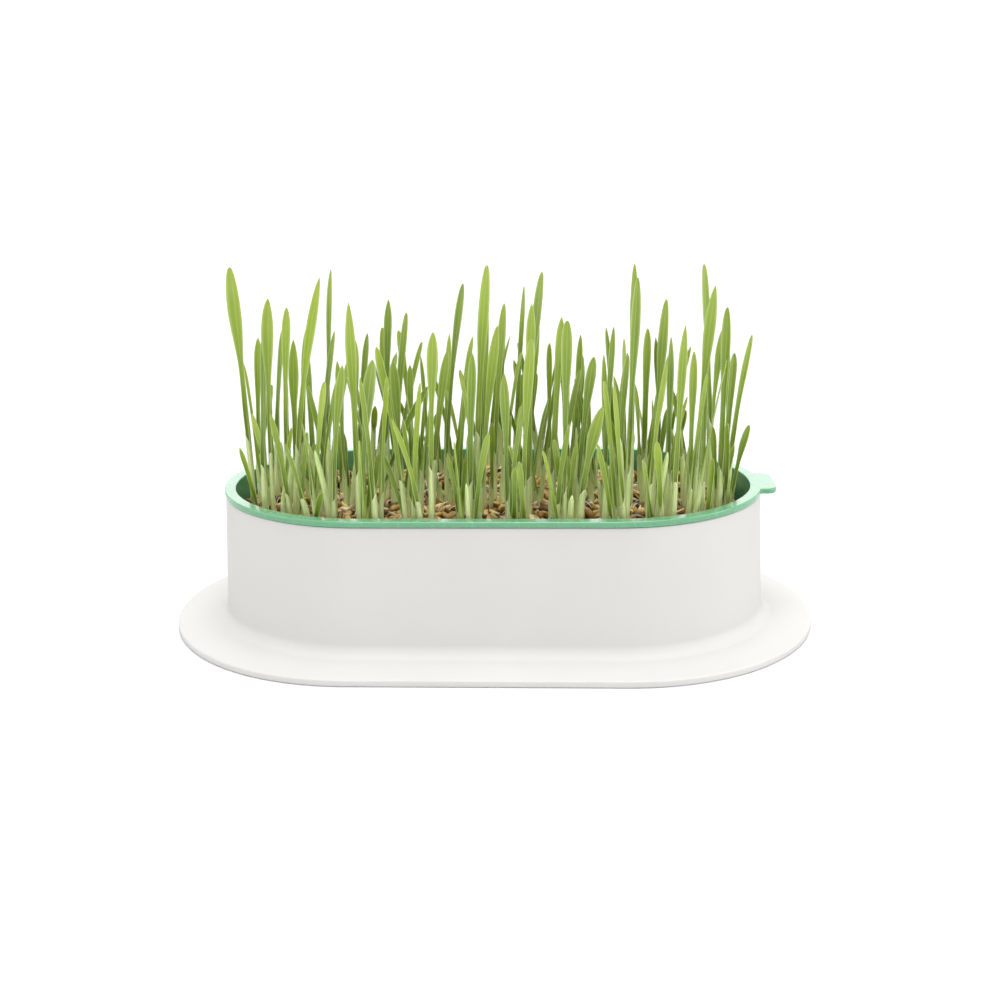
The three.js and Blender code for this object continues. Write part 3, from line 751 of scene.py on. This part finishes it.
def liner_shell():
    """The liner without its tab: outside, rim, inside."""
    rim_bottom = RIM_TOP - RIM_THICKNESS
    floor_bottom = LINER_FLOOR_TOP - LINER_THICKNESS
    rows = [oval_ring(RIM_OVAL, liner_inset(floor_bottom) - LINER_THICKNESS, floor_bottom)]
    step_to(rows, oval_ring(RIM_OVAL, liner_inset(rim_bottom) - LINER_THICKNESS, rim_bottom), WALL_ROWS)
    rows += bottom_edge(RIM_OVAL, rim_bottom, RIM_ROUNDING)
    rows += outer_edge(RIM_OVAL, 0, RIM_TOP, RIM_ROUNDING)
    rows += inner_edge(RIM_OVAL, RIM_WIDTH, RIM_TOP, RIM_ROUNDING)
    step_to(rows, oval_ring(RIM_OVAL, liner_inset(LINER_FLOOR_TOP), LINER_FLOOR_TOP), WALL_ROWS)
    return heap_of(rows)


def tab_outline(inset):
    """Right half of the tab seen from above, with round corners and a fillet at its root."""
    root_x, root_depth = TAB_ROOT
    corner_x = TAB_REACH - TAB_CORNER
    corner_y = TAB_HALF_WIDTH - TAB_CORNER
    half = [(root_x - root_depth, TAB_HALF_WIDTH + TAB_ROOT_FILLET - inset)]
    for up, out in quarter(TAB_ROOT_STEPS):
        reach = TAB_ROOT_FILLET + inset
        x = root_x + TAB_ROOT_FILLET - reach * (1 - up)
        y = TAB_HALF_WIDTH + TAB_ROOT_FILLET - reach * (1 - out)
        half.append((x, y))
    for up, out in quarter(TAB_CORNER_STEPS):
        reach = TAB_CORNER - inset
        half.append((corner_x + reach * (1 - out), corner_y + reach * (1 - up)))
    return half[::-1] + [(x, -y) for x, y in half]


def tab_slab():
    """The lifting tab, which the liner is joined with."""
    low = RIM_TOP - TAB_THICKNESS
    r = RIM_ROUNDING
    levels = [(r * out, low + r * up) for up, out in quarter()]
    levels += [(r * inset, RIM_TOP - r * drop) for inset, drop in quarter()]
    return heap_of([[(x, y, z) for x, y in reversed(tab_outline(inset))] for inset, z in levels])


def with_modifier(obj, kind, **settings):
    """Applies one modifier to a mesh object."""
    modifier = obj.modifiers.new(kind.lower(), kind)
    for key, value in settings.items():
        setattr(modifier, key, value)
    bpy.context.view_layer.update()
    evaluated = obj.evaluated_get(bpy.context.evaluated_depsgraph_get())
    mesh = bpy.data.meshes.new_from_object(evaluated)
    obj.modifiers.remove(modifier)
    obj.data = mesh


def add_liner(finish):
    liner = add_piece(liner_shell(), "liner_shell", "green_plastic", [finish], "liner_tray")
    tab = tab_slab().to_object("tab_slab", [finish])
    with_modifier(liner, "BOOLEAN", operation="UNION", object=tab, solver="EXACT")
    bpy.data.objects.remove(tab)
    liner.data.set_sharp_from_angle(angle=math.radians(SHARP_ANGLE))
    with_modifier(liner, "WEIGHTED_NORMAL", keep_sharp=True)


# ---- Shoots ----

def crowded_rows(count, crowding):
    """Shares of the height from 0 to 1, closer together towards the tip."""
    return 1 - (1 - np.linspace(0, 1, count)) ** crowding


def there_and_back(one, other):
    """Rows of points that run along one side of a strip and back along its other side."""
    return np.concatenate([one, other[:, ::-1]], axis=1)


def add_leaf(heap, shoot, collar, tone, rng):
    """A thin strip, rolled in the sheath, that unrolls above the collar to a shallow channel."""
    start = max(LEAF_LOWEST_START, collar - LEAF_START_BELOW)
    s = lerp(start, 1, crowded_rows(LEAF_ROWS, LEAF_ROW_CROWDING))[:, None]
    opened = lerp(collar, shoot.widest, rng.uniform(*OPENING_SHARE))
    flat = math.radians(rng.uniform(*OPEN_ANGLE))
    fold = rng.uniform(*LEAF_FOLD)
    spin = rng.uniform(*EXTRA_TWIST)
    pointedness = rng.uniform(*TIP_POINTEDNESS)
    opening = smoothstep(s, collar, opened)
    arc = lerp(math.radians(ROLLED_ANGLE), flat, opening)

    past = share_past(s, shoot.widest)
    half = width_at(shoot, s) / 2 * (1 - past * past) ** pointedness
    half = np.maximum(LEAF_TIP, half - LEAF_IN_SHEATH * (1 - opening))
    radius = half / np.sin(np.minimum(arc, np.pi) / 2)
    middle = radius * (1 + np.cos(arc / 2)) / 2

    u = np.array([LEAF_ACROSS])
    turn = u * arc / 2
    thickness = lerp(MARGIN_THICKNESS, LEAF_THICKNESS, 1 - u * u)
    thickness = thickness * np.minimum(1, half / THICK_FROM_HALF_WIDTH)
    keel = MIDRIB * np.exp(-(u / MIDRIB_SPREAD) ** 2) * np.minimum(1, half / MIDRIB_FROM_HALF_WIDTH)
    crease = fold * half * np.abs(u) * opening
    outer = radius + thickness / 2 + keel
    inner = radius - thickness / 2 + keel / 3
    across = there_and_back(outer * np.sin(turn), inner * np.sin(turn))
    back = there_and_back(outer * np.cos(turn) - crease, inner * np.cos(turn) - crease) - middle

    x, y, z = centre_at(shoot, s)
    heading = shoot.facing + shoot.twist * s + spin * smoothstep(s, opened, 1)
    cos = np.cos(heading)
    sin = np.sin(heading)
    grid = np.stack([
        x + across * cos - back * sin,
        y + across * sin + back * cos,
        z + 0 * across,
    ], axis=2)
    along = (s - collar) / (1 - collar)
    heap.add_grid(grid[:, ::-1], LEAF, tone, along, there_and_back(u, u)[:, ::-1])


def angles_around(count):
    """Evenly spaced angles round a full turn."""
    return 2 * np.pi * np.arange(count) / count


def ring_at(x, y, z, radius, around):
    """A ring of points. Its place and radius may be one number, or one for each angle."""
    return np.stack([x + radius * np.cos(around), y + radius * np.sin(around), z + 0 * around], axis=1)


def base_narrowing(s):
    """How much a sheath is narrowed towards its base, as a factor of its radius."""
    return 1 - BASE_NARROWING * (1 - smoothstep(s, 0, BASE_SHARE))


def add_sheath(heap, shoot, collar, tone, rng):
    """A round tube from the root plug to a slanting pointed opening that hugs the leaf."""
    around = angles_around(SHEATH_SIDES)
    point = ((1 + np.cos(around - rng.uniform(*FULL_TURN))) / 2) ** POINT_SHARPNESS
    height = shoot.tip[2] - SHEATH_START
    rise = min(rng.uniform(*POINT_RISE), POINT_RISE_SHARE * height)
    top = np.minimum(HIGHEST_OPENING, collar + rise / height * (point - POINT_DROP))
    snug = shoot.sheath / 2 - LEAF_IN_SHEATH + SHEATH_WALL
    rows = []
    share = []
    for row_list, wall in ((SHEATH_ROWS, 0), (SHEATH_INNER_ROWS, SHEATH_WALL)):
        for t in row_list:
            x, y, z = centre_at(shoot, t * top)
            near_top = smoothstep(t, SNUG_FROM, 1)
            radius = lerp(shoot.sheath / 2, snug, near_top) * base_narrowing(t)
            radius = radius - wall + POINT_FLARE * smoothstep(t, POINT_FLARE_FROM, 1) * point
            rows.append(ring_at(x, y, z, radius, around))
            share.append(t)
    heap.add_grid(np.array(rows), SHEATH, tone, np.array(share)[:, None], around / np.pi - 1)


def add_spike(heap, shoot, tone, rng):
    """A sheath that is still closed."""
    s = crowded_rows(SPIKE_ROWS, SPIKE_ROW_CROWDING)
    around = angles_around(SHEATH_SIDES)
    past = share_past(s, SPIKE_TIP_START)
    radius = shoot.sheath / 2 * (1 - SPIKE_TAPER * s) * (1 - past * past) ** SPIKE_POINTEDNESS
    radius = np.maximum(LEAF_TIP, radius * base_narrowing(s))
    x, y, z = centre_at(shoot, s)
    lean = rng.uniform(*FULL_TURN)
    nod = SPIKE_NOD * smoothstep(s, SPIKE_NOD_FROM, 1)
    x = x + nod * math.cos(lean)
    y = y + nod * math.sin(lean)
    rows = [ring_at(*row, around) for row in zip(x, y, z, radius)]
    heap.add_grid(np.array(rows), SHEATH, lerp(*SPIKE_TONE, tone), s[:, None], around / np.pi - 1)


def add_shoot(heap, shoot, rng):
    """A sheath with its leaf, or a closed sheath; from some stubs a leaf peeks out."""
    tone = rng.random()
    collar = shoot.collar
    if shoot.is_stub:
        if rng.random() >= PEEK_SHARE:
            add_spike(heap, shoot, tone, rng)
            return
        collar = rng.uniform(*PEEK_COLLAR)
    add_sheath(heap, shoot, collar, tone, rng)
    add_leaf(heap, shoot, collar, tone, rng)


# ---- Grain, husks, rootlets and soil ----

def heap_height(x, y):
    """Height of the loose grain above the bed's flat top: its heaps and small unevenness."""
    height, length_x, length_y = LONG_RIPPLE
    ripple = height * math.sin(x / length_x + 1) * math.cos(y / length_y)
    height, length_x, length_y = SHORT_RIPPLE
    ripple += height * math.sin(x / length_x - y / length_y)
    return heap_at(x, y) + GRAIN_HEIGHT + ripple


def strewn(grid, place, tilts, rolls, rng):
    """The points of a grid, turned, tilted and rolled at random, at a place."""
    turn = Matrix.Rotation(rng.uniform(*FULL_TURN), 4, "Z")
    tilt = Matrix.Rotation(rng.uniform(*tilts), 4, "Y")
    roll = Matrix.Rotation(rng.uniform(*rolls), 4, "X")
    matrix = Matrix.Translation(place) @ turn @ tilt @ roll
    return grid @ np.array(matrix.to_3x3()).T + np.array(matrix.translation)


def kernel_grid(length, width):
    """A wheat kernel along x: blunt at one end, narrower at the germ, with a crease below."""
    t = np.linspace(*KERNEL_ENDS, KERNEL_ROWS)[:, None]
    around = angles_around(KERNEL_SIDES)[None, :]
    swell = np.sin(np.pi * t ** KERNEL_LOPSIDEDNESS) ** KERNEL_BLUNTNESS
    below = np.angle(np.exp(1j * (around + np.pi / 2)))
    crease = 1 - CREASE_DEPTH * np.exp(-(below / CREASE_WIDTH) ** 2) * np.sin(np.pi * t)
    radius = width / 2 * swell * crease
    x = (t - 0.5) * length + 0 * around
    z = KERNEL_DEPTH * radius * np.sin(around) + KERNEL_BOW * width * np.sin(np.pi * t)
    return np.stack([x, radius * np.cos(around), z], axis=2), t, below / np.pi


def add_kernel(heap, finish, place, rng):
    grid, along, across = kernel_grid(rng.uniform(*KERNEL_LENGTH), rng.uniform(*KERNEL_WIDTH))
    points = strewn(grid, place, KERNEL_TILT, FULL_TURN, rng)
    heap.add_grid(points, finish, rng.random(), along, across)


def add_husk(heap, place, rng):
    """A dry flake of bran: a short thin shell, curved across and pointed at both ends."""
    length = rng.uniform(*HUSK_LENGTH)
    half = rng.uniform(*HUSK_WIDTH) / 2
    t = np.linspace(*HUSK_ENDS, HUSK_ROWS)[:, None]
    u = np.linspace(-1, 1, HUSK_COLUMNS)[None, :]
    half_width = half * np.sin(np.pi * t) ** HUSK_POINTEDNESS
    x = (t - 0.5) * length + 0 * u
    y = half_width * u
    z = half * HUSK_ARCH * (1 - u * u) * np.sin(np.pi * t) + HUSK_BOW * length * (t - 0.5) ** 2
    upper = np.stack([x, y, z + HUSK_THICKNESS / 2], axis=2)
    lower = np.stack([x, y, z - HUSK_THICKNESS / 2], axis=2)
    points = strewn(there_and_back(lower, upper), place, HUSK_TILT, HUSK_ROLL, rng)
    heap.add_grid(points, HUSK, rng.random(), t, there_and_back(u, u))


def add_rootlet(heap, place, rng):
    """A fine white root that wanders over the grain and dives at both ends."""
    length = rng.uniform(*ROOTLET_LENGTH)
    radius = rng.uniform(*ROOTLET_RADIUS)
    heading = rng.uniform(*FULL_TURN)
    bend = rng.uniform(*ROOTLET_BEND)
    t = np.linspace(0, 1, ROOTLET_ROWS)[:, None]
    turn = heading + bend * (t - 0.5) + ROOTLET_WIGGLE * np.sin(t * rng.uniform(*ROOTLET_WAVES))
    x = place.x + np.cumsum(np.cos(turn), axis=0) * length / ROOTLET_ROWS
    y = place.y + np.cumsum(np.sin(turn), axis=0) * length / ROOTLET_ROWS
    z = place.z + rng.uniform(*ROOTLET_ARCH) * np.sin(np.pi * t) - ROOTLET_DIVE * (2 * t - 1) ** 4
    around = angles_around(ROOTLET_SIDES)
    thickness = radius * (1 - ROOTLET_TAPER * t)
    side = thickness * np.cos(around)
    grid = np.stack([
        x - side * np.sin(turn),
        y + side * np.cos(turn),
        z + thickness * np.sin(around),
    ], axis=2)
    heap.add_grid(grid, ROOTLET, rng.random(), t)


def soil_top(x, y):
    """Height of the soil, which follows the loose grain and has lumps of its own."""
    a, b, c, d = SOIL_WAVES
    lump = math.sin(x * a + math.sin(y * b)) * math.cos(y * c + math.sin(x * d))
    return BED_TOP - SOIL_SINK + SOIL_HEAP_SHARE * heap_height(x, y) + SOIL_ROUGHNESS * lump


def soil_cover():
    """The uneven dark top of the bed, which goes down out of sight along the liner's wall."""
    edge = liner_inset(BED_TOP) + GAP
    shrink = [1 - edge / RIM_HALF_LENGTH, 1 - edge / RIM_HALF_WIDTH]
    outline = oval_ring(RIM_OVAL, 0, 0)[:, :2] * shrink
    rows = [[(x, y, BED_TOP - depth) for x, y in outline] for depth in SOIL_EDGE_DEPTHS]
    for i in range(SOIL_RINGS):
        rows.append([(x, y, soil_top(x, y)) for x, y in outline * (1 - i / SOIL_RINGS)])
    return heap_of(rows)


def grain_places(rng):
    """Places for the kernels: an uneven grid over the whole bed, heaped where the grain is heaped."""
    places = []
    for j in range(-KERNEL_LINES, KERNEL_LINES + 1):
        for i in range(-KERNELS_IN_LINE, KERNELS_IN_LINE + 1):
            x = (i + (j % 2) / 2) * KERNEL_PITCH + KERNEL_SCATTER * rng.uniform(*EITHER_WAY)
            y = j * KERNEL_PITCH * LINE_PITCH_SHARE + KERNEL_SCATTER * rng.uniform(*EITHER_WAY)
            lift = rng.uniform(*KERNEL_LIFT)
            if abs(x) < bed_reach(y, KERNEL_WALL_GAP):
                places.append(Vector((x, y, BED_TOP - KERNEL_SINK + heap_height(x, y) + lift)))
    return places


def plug_under(tufts, x, y):
    """The tuft whose root plug is under a place, if there is one."""
    tuft = nearest_tuft(tufts, x, y)
    return tuft if math.hypot(tuft.x - x, tuft.y - y) < PLUG_RADIUS else None


def add_plug(heap, tuft, rng):
    """The matted root ball that a tuft stands on."""
    around = angles_around(BALL_SIDES)
    rows = []
    for level, share in BALL_ROWS:
        lumps = BALL_LUMPS * np.array([rng.uniform(*EITHER_WAY) for _ in around])
        radius = (PLUG_RADIUS - BALL_GAP) * share + lumps * share
        z = BED_TOP + heap_at(tuft.x, tuft.y) + level + lumps * share
        rows.append(ring_at(tuft.x, tuft.y, z, radius, around))
    heap.add_grid(np.array(rows), SOIL)


def litter_of(rng):
    """Husks and rootlets, strewn over the kernels."""
    count = HUSK_COUNT + ROOTLET_COUNT
    litter = Heap()
    for _ in range(count):
        y = rng.uniform(-LITTER_REACH, LITTER_REACH)
        x = rng.uniform(*EITHER_WAY) * bed_reach(y, LITTER_WALL_GAP)
        place = Vector((x, y, BED_TOP + LITTER_HEIGHT + heap_height(x, y)))
        if rng.random() < HUSK_COUNT / count:
            add_husk(litter, place, rng)
        else:
            add_rootlet(litter, place, rng)
    return litter


# ---- Materials ----

def set_stops(node, stops):
    """Gives a colour ramp its stops: pairs of place and colour."""
    elements = node.color_ramp.elements
    while len(elements) < len(stops):
        elements.new(0.5)
    for element, (position, colour) in zip(elements, stops):
        element.position = position
        element.color = (*colour, 1)


class Look:
    """A procedural material, wired node by node. Numbers that don't vary go on the shader itself."""

    def __init__(self, name, **constants):
        self.material = bpy.data.materials.new(name)
        self.material.use_nodes = True
        self.nodes = self.material.node_tree.nodes
        self.link = self.material.node_tree.links.new
        self.shader = self.nodes["Principled BSDF"]
        for key, value in constants.items():
            self.shader.inputs[key.replace("_", " ")].default_value = value

    def node(self, kind, inputs=(), **settings):
        node = self.nodes.new(kind)
        for key, value in settings.items():
            setattr(node, key, value)
        for key, value in dict(inputs).items():
            if isinstance(value, bpy.types.NodeSocket):
                self.link(value, node.inputs[key])
            else:
                node.inputs[key].default_value = value
        return node

    def to_shader(self, key, socket):
        self.link(socket, self.shader.inputs[key])

    def attribute(self, name):
        return self.node("ShaderNodeAttribute", attribute_name=name).outputs["Fac"]

    def noise(self, scale, detail, stretch=(1, 1, 1)):
        """Noise over the object's own coordinates, in metres, with features about 1 / scale across."""
        place = self.node("ShaderNodeTexCoord").outputs["Object"]
        mapping = self.node("ShaderNodeMapping", {"Vector": place, "Scale": stretch})
        inputs = {"Vector": mapping.outputs["Vector"], "Scale": scale, "Detail": detail}
        return self.node("ShaderNodeTexNoise", inputs).outputs["Fac"]

    def math(self, operation, a, b=0.0):
        return self.node("ShaderNodeMath", {0: a, 1: b}, operation=operation).outputs[0]

    def waves(self, value, turning):
        """Sine of the value times turning, from -1 to 1."""
        return self.math("SINE", self.math("MULTIPLY", value, turning))

    def spread(self, value, low, high, lowest=0.0):
        """Maps lowest to 1 onto low to high."""
        inputs = {"Value": value, "From Min": lowest, "To Min": low, "To Max": high}
        return self.node("ShaderNodeMapRange", inputs).outputs[0]

    def ramp(self, value, stops):
        node = self.node("ShaderNodeValToRGB", {"Fac": value})
        set_stops(node, stops)
        return node.outputs["Color"]

    def mix(self, share, colour, other, blend="MIX"):
        """The colour with a share of the other one, which may be a constant."""
        other = (*other, 1) if isinstance(other, tuple) else other
        inputs = {0: share, 6: colour, 7: other}
        return self.node("ShaderNodeMix", inputs, data_type="RGBA", blend_type=blend).outputs[2]

    def tint(self, colour, mask, share, other, blend="MIX"):
        """The colour with a share of the other one where the mask is 1."""
        return self.mix(self.math("MULTIPLY", mask, share), colour, other, blend)

    def finished(self, colour, roughness, relief, depth, strength):
        """The material with its colour, its roughness and its relief, depth millimetres deep."""
        bump = {"Height": relief, "Distance": depth * MM, "Strength": strength}
        self.to_shader("Base Color", colour)
        self.to_shader("Roughness", roughness)
        self.to_shader("Normal", self.node("ShaderNodeBump", bump).outputs["Normal"])
        return self.material


def white_plastic():
    look = Look("satin_white_plastic", Specular_IOR_Level=0.2)
    colour = look.ramp(look.noise(25, 2), [(0.3, WHITE_SHADE), (0.7, WHITE)])
    roughness = look.spread(look.noise(160, 4), 0.45, 0.58)
    return look.finished(colour, roughness, look.noise(2600, 2), depth=0.01, strength=0.4)


def green_plastic():
    look = Look(
        "glossy_green_plastic", Coat_Weight=0.5, Coat_Roughness=0.1, Coat_IOR=1.5,
        Subsurface_Weight=0.35, Subsurface_Scale=MM, Subsurface_Radius=PLASTIC_GLOW,
    )
    colour = look.ramp(look.noise(30, 2, (1, 1, 3)), [(0.3, MINT_SHADE), (0.7, MINT)])
    roughness = look.spread(look.noise(120, 3), 0.22, 0.32)
    return look.finished(colour, roughness, look.noise(60, 2), depth=0.02, strength=0.12)


def leaf_green():
    look = Look(
        "grass_leaf", Coat_Weight=0.25, Coat_Roughness=0.25,
        Subsurface_Weight=0.25, Subsurface_Scale=MM, Subsurface_Radius=LEAF_GLOW,
    )
    along = look.attribute("along")
    across = look.attribute("across")
    bright = look.ramp(along, LEAF_BRIGHT)
    deep = look.ramp(along, LEAF_DEEP)
    colour = look.mix(look.attribute("tone"), bright, deep)
    mottle = look.noise(260, 4, (1, 1, 0.25))
    colour = look.mix(look.spread(mottle, 0, 0.45), colour, LEAF_SHADE, "MULTIPLY")
    distance = look.math("ABSOLUTE", across)
    midrib = look.ramp(distance, [(0.04, ALL), (0.12, NONE)])
    colour = look.tint(colour, midrib, 0.22, MIDRIB_COLOUR)
    # Paler towards both edges: partly the margin's own colour, partly a painted edge highlight.
    margin = look.ramp(distance, [(0.6, NONE), (1, ALL)])
    colour = look.tint(colour, margin, 0.5, MARGIN_TINT_AND_EDGE_HIGHLIGHT)
    veins = look.spread(look.waves(across, 44), 0, 1, lowest=-1)
    colour = look.tint(colour, veins, 0.12, LEAF_SHADE, "MULTIPLY")
    return look.finished(colour, look.spread(mottle, 0.32, 0.5), veins, depth=0.05, strength=0.6)


def sheath_green():
    look = Look(
        "grass_sheath", Specular_IOR_Level=0.4,
        Subsurface_Weight=0.3, Subsurface_Scale=MM, Subsurface_Radius=SHEATH_GLOW,
    )
    around = look.attribute("across")
    colour = look.ramp(look.attribute("along"), SHEATH_COLOURS)
    tone = look.spread(look.attribute("tone"), 0.05, 0.6)
    colour = look.mix(tone, colour, SHEATH_SHADE, "MULTIPLY")
    streaks = look.noise(900, 3, (1, 1, 0.06))
    colour = look.mix(look.spread(streaks, 0, 0.8), colour, SHEATH_STREAK, "MULTIPLY")
    bands = look.spread(look.waves(look.math("ADD", around, streaks), 17), 0, 0.55, lowest=-1)
    colour = look.mix(bands, colour, SHEATH_BAND, "MULTIPLY")
    ribs = look.math("ADD", look.waves(around, 50), streaks)
    return look.finished(colour, look.spread(streaks, 0.38, 0.58), ribs, depth=0.03, strength=0.5)


def kernel_skin():
    look = Look("wheat_kernel", Specular_IOR_Level=0.45)
    colour = look.ramp(look.attribute("tone"), KERNEL_COLOURS)
    blotch = look.noise(500, 4)
    colour = look.mix(look.spread(blotch, 0, 0.7), colour, KERNEL_SHADE, "MULTIPLY")
    # The groove on each kernel's underside is darkened strongly: painted shade in the crease.
    crease = look.math("ABSOLUTE", look.attribute("across"))
    crease = look.ramp(crease, [(0.02, ALL), (0.16, NONE)])
    colour = look.tint(colour, crease, 0.7, KERNEL_CREASE_SHADE_AND_END_DARK)
    blunt_end = look.ramp(look.attribute("along"), [(0, ALL), (0.16, NONE)])
    colour = look.tint(colour, blunt_end, 0.5, KERNEL_CREASE_SHADE_AND_END_DARK)
    roughness = look.spread(blotch, 0.38, 0.62)
    return look.finished(colour, roughness, look.noise(2400, 3), depth=0.08, strength=0.6)


def husk_skin():
    look = Look("bran_husk", Specular_IOR_Level=0.35)
    colour = look.ramp(look.attribute("tone"), HUSK_COLOURS)
    fibre = look.spread(look.waves(look.attribute("across"), 22), 0, 0.3)
    colour = look.mix(fibre, colour, KERNEL_SHADE, "MULTIPLY")
    roughness = look.spread(look.noise(900, 3), 0.5, 0.75)
    return look.finished(colour, roughness, fibre, depth=0.06, strength=0.6)


def rootlet_skin():
    look = Look("fine_root", Subsurface_Weight=0.3, Subsurface_Scale=MM, Specular_IOR_Level=0.4)
    colour = look.ramp(look.attribute("tone"), ROOT_COLOURS)
    fuzz = look.noise(1500, 3)
    colour = look.mix(look.spread(fuzz, 0, 0.4), colour, ROOT_SHADE, "MULTIPLY")
    return look.finished(colour, look.spread(fuzz, 0.4, 0.65), fuzz, depth=0.04, strength=0.6)


def dark_soil(name):
    look = Look(name, Specular_IOR_Level=0.3)
    crumbs = look.noise(420, 6)
    colour = look.ramp(crumbs, SOIL_COLOURS)
    roughness = look.spread(crumbs, 0.7, 0.95)
    return look.finished(colour, roughness, look.noise(1100, 5), depth=0.5, strength=0.9)


# ---- Stage: camera, floor and light ----

def add_camera():
    pan, pitch, roll = CAMERA_PAN, CAMERA_PITCH, CAMERA_ROLL
    flat = math.cos(pitch)
    ahead = Vector((-math.sin(pan) * flat, math.cos(pan) * flat, -math.sin(pitch)))
    level = Vector((math.cos(pan), math.sin(pan), 0))
    upright = level.cross(ahead)
    right = level * math.cos(roll) + upright * math.sin(roll)
    up = upright * math.cos(roll) - level * math.sin(roll)
    data = bpy.data.cameras.new("camera")
    data.lens = LENS
    data.sensor_width = SENSOR
    camera = add_object("camera", data)
    turned = Matrix((right, up, -ahead)).transposed().to_4x4()
    camera.matrix_world = Matrix.Translation(Vector(CAMERA_PLACE) * MM) @ turned
    bpy.context.scene.camera = camera


def add_floor():
    floor = Heap()
    ends = (-FLOOR_HALF_SIZE, FLOOR_HALF_SIZE)
    corners = [[(x, y, FLOOR_Z) for x in ends] for y in ends]
    floor.add_grid(np.array(corners, float), 0, is_closed=False)
    look = Look("studio_floor", Specular_IOR_Level=0.2, Roughness=0.8)
    look.to_shader("Base Color", look.ramp(look.noise(3, 2), FLOOR_COLOURS))
    floor.to_object("studio_floor", [look.material])


def add_lamp(data, direction, place=(0, 0, 0)):
    """Puts a lamp in its place, so that it shines in a direction."""
    lamp = add_object(data.name, data)
    lamp.location = place
    lamp.rotation_euler = direction.to_track_quat("-Z", "Y").to_euler()


def add_area_light(name, place, width, height, power):
    """A soft rectangular light that points at the tray."""
    data = bpy.data.lights.new(name, "AREA")
    data.shape = "RECTANGLE"
    data.size = width
    data.size_y = height
    data.energy = power
    add_lamp(data, Vector(LIGHT_TARGET) - Vector(place), place)


def add_world():
    """White all round the horizon and below it, and grey overhead."""
    world = bpy.data.worlds.new("white_studio")
    world.use_nodes = True
    nodes = world.node_tree.nodes
    link = world.node_tree.links.new
    direction = nodes.new("ShaderNodeTexCoord").outputs["Generated"]
    parts = nodes.new("ShaderNodeSeparateXYZ")
    ramp = nodes.new("ShaderNodeValToRGB")
    set_stops(ramp, [(height, (level, level, level)) for height, level in SKY_LEVELS])
    background = nodes["Background"]
    background.inputs["Strength"].default_value = SKY_STRENGTH
    link(direction, parts.inputs[0])
    link(parts.outputs["Z"], ramp.inputs["Fac"])
    link(ramp.outputs["Color"], background.inputs["Color"])
    bpy.context.scene.world = world


def add_sun():
    """A very soft light from overhead, a little in front."""
    data = bpy.data.lights.new("sun", "SUN")
    data.energy = SUN_STRENGTH
    data.angle = math.radians(SUN_ANGLE)
    add_lamp(data, -Vector(SUN_FROM))


# ---- The tray ----

def main():
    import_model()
    bpy.context.scene.view_settings.view_transform = "Standard"
    add_camera()
    add_floor()
    add_world()
    add_sun()
    for light in AREA_LIGHTS:
        add_area_light(*light)
    add_piece(planter_shell(), "planter_shell", "white_plastic", [white_plastic()], "planter_body")
    add_liner(green_plastic())

    draw = seeded_draws(GROWTH_SEED)
    tufts = tuft_centres(draw)
    shoots = grow_short_shoots(tufts, grow_tall_shoots(tufts, draw), draw)

    finishes = [leaf_green(), sheath_green(), kernel_skin(), dark_soil("root_soil")]
    heaps = {id(tuft): Heap() for tuft in tufts}
    rng = random.Random(LEAF_SEED)
    for shoot in shoots:
        add_shoot(heaps[id(shoot.tuft)], shoot, rng)

    rng = random.Random(GRAIN_SEED)
    grain = Heap()
    for place in grain_places(rng):
        tuft = plug_under(tufts, place.x, place.y)
        add_kernel(heaps[id(tuft)] if tuft else grain, KERNEL if tuft else 0, place, rng)
    for index, tuft in enumerate(tufts):
        add_plug(heaps[id(tuft)], tuft, rng)
        name = f"{index + 1:02d}"
        add_piece(heaps[id(tuft)], f"grass_tuft_{name}", "grass", finishes, f"tuft_{name}")

    add_piece(grain, "grain_kernels", "grain", [finishes[KERNEL]])
    add_piece(litter_of(rng), "husks_and_rootlets", "grain", [husk_skin(), rootlet_skin()])
    add_piece(soil_cover(), "bed_soil", "grain", [finishes[SOIL]], "seed_bed")

    medium = bpy.data.objects["growing_medium"]
    medium.data.materials.clear()
    medium.data.materials.append(dark_soil("growing_medium_soil"))


main()
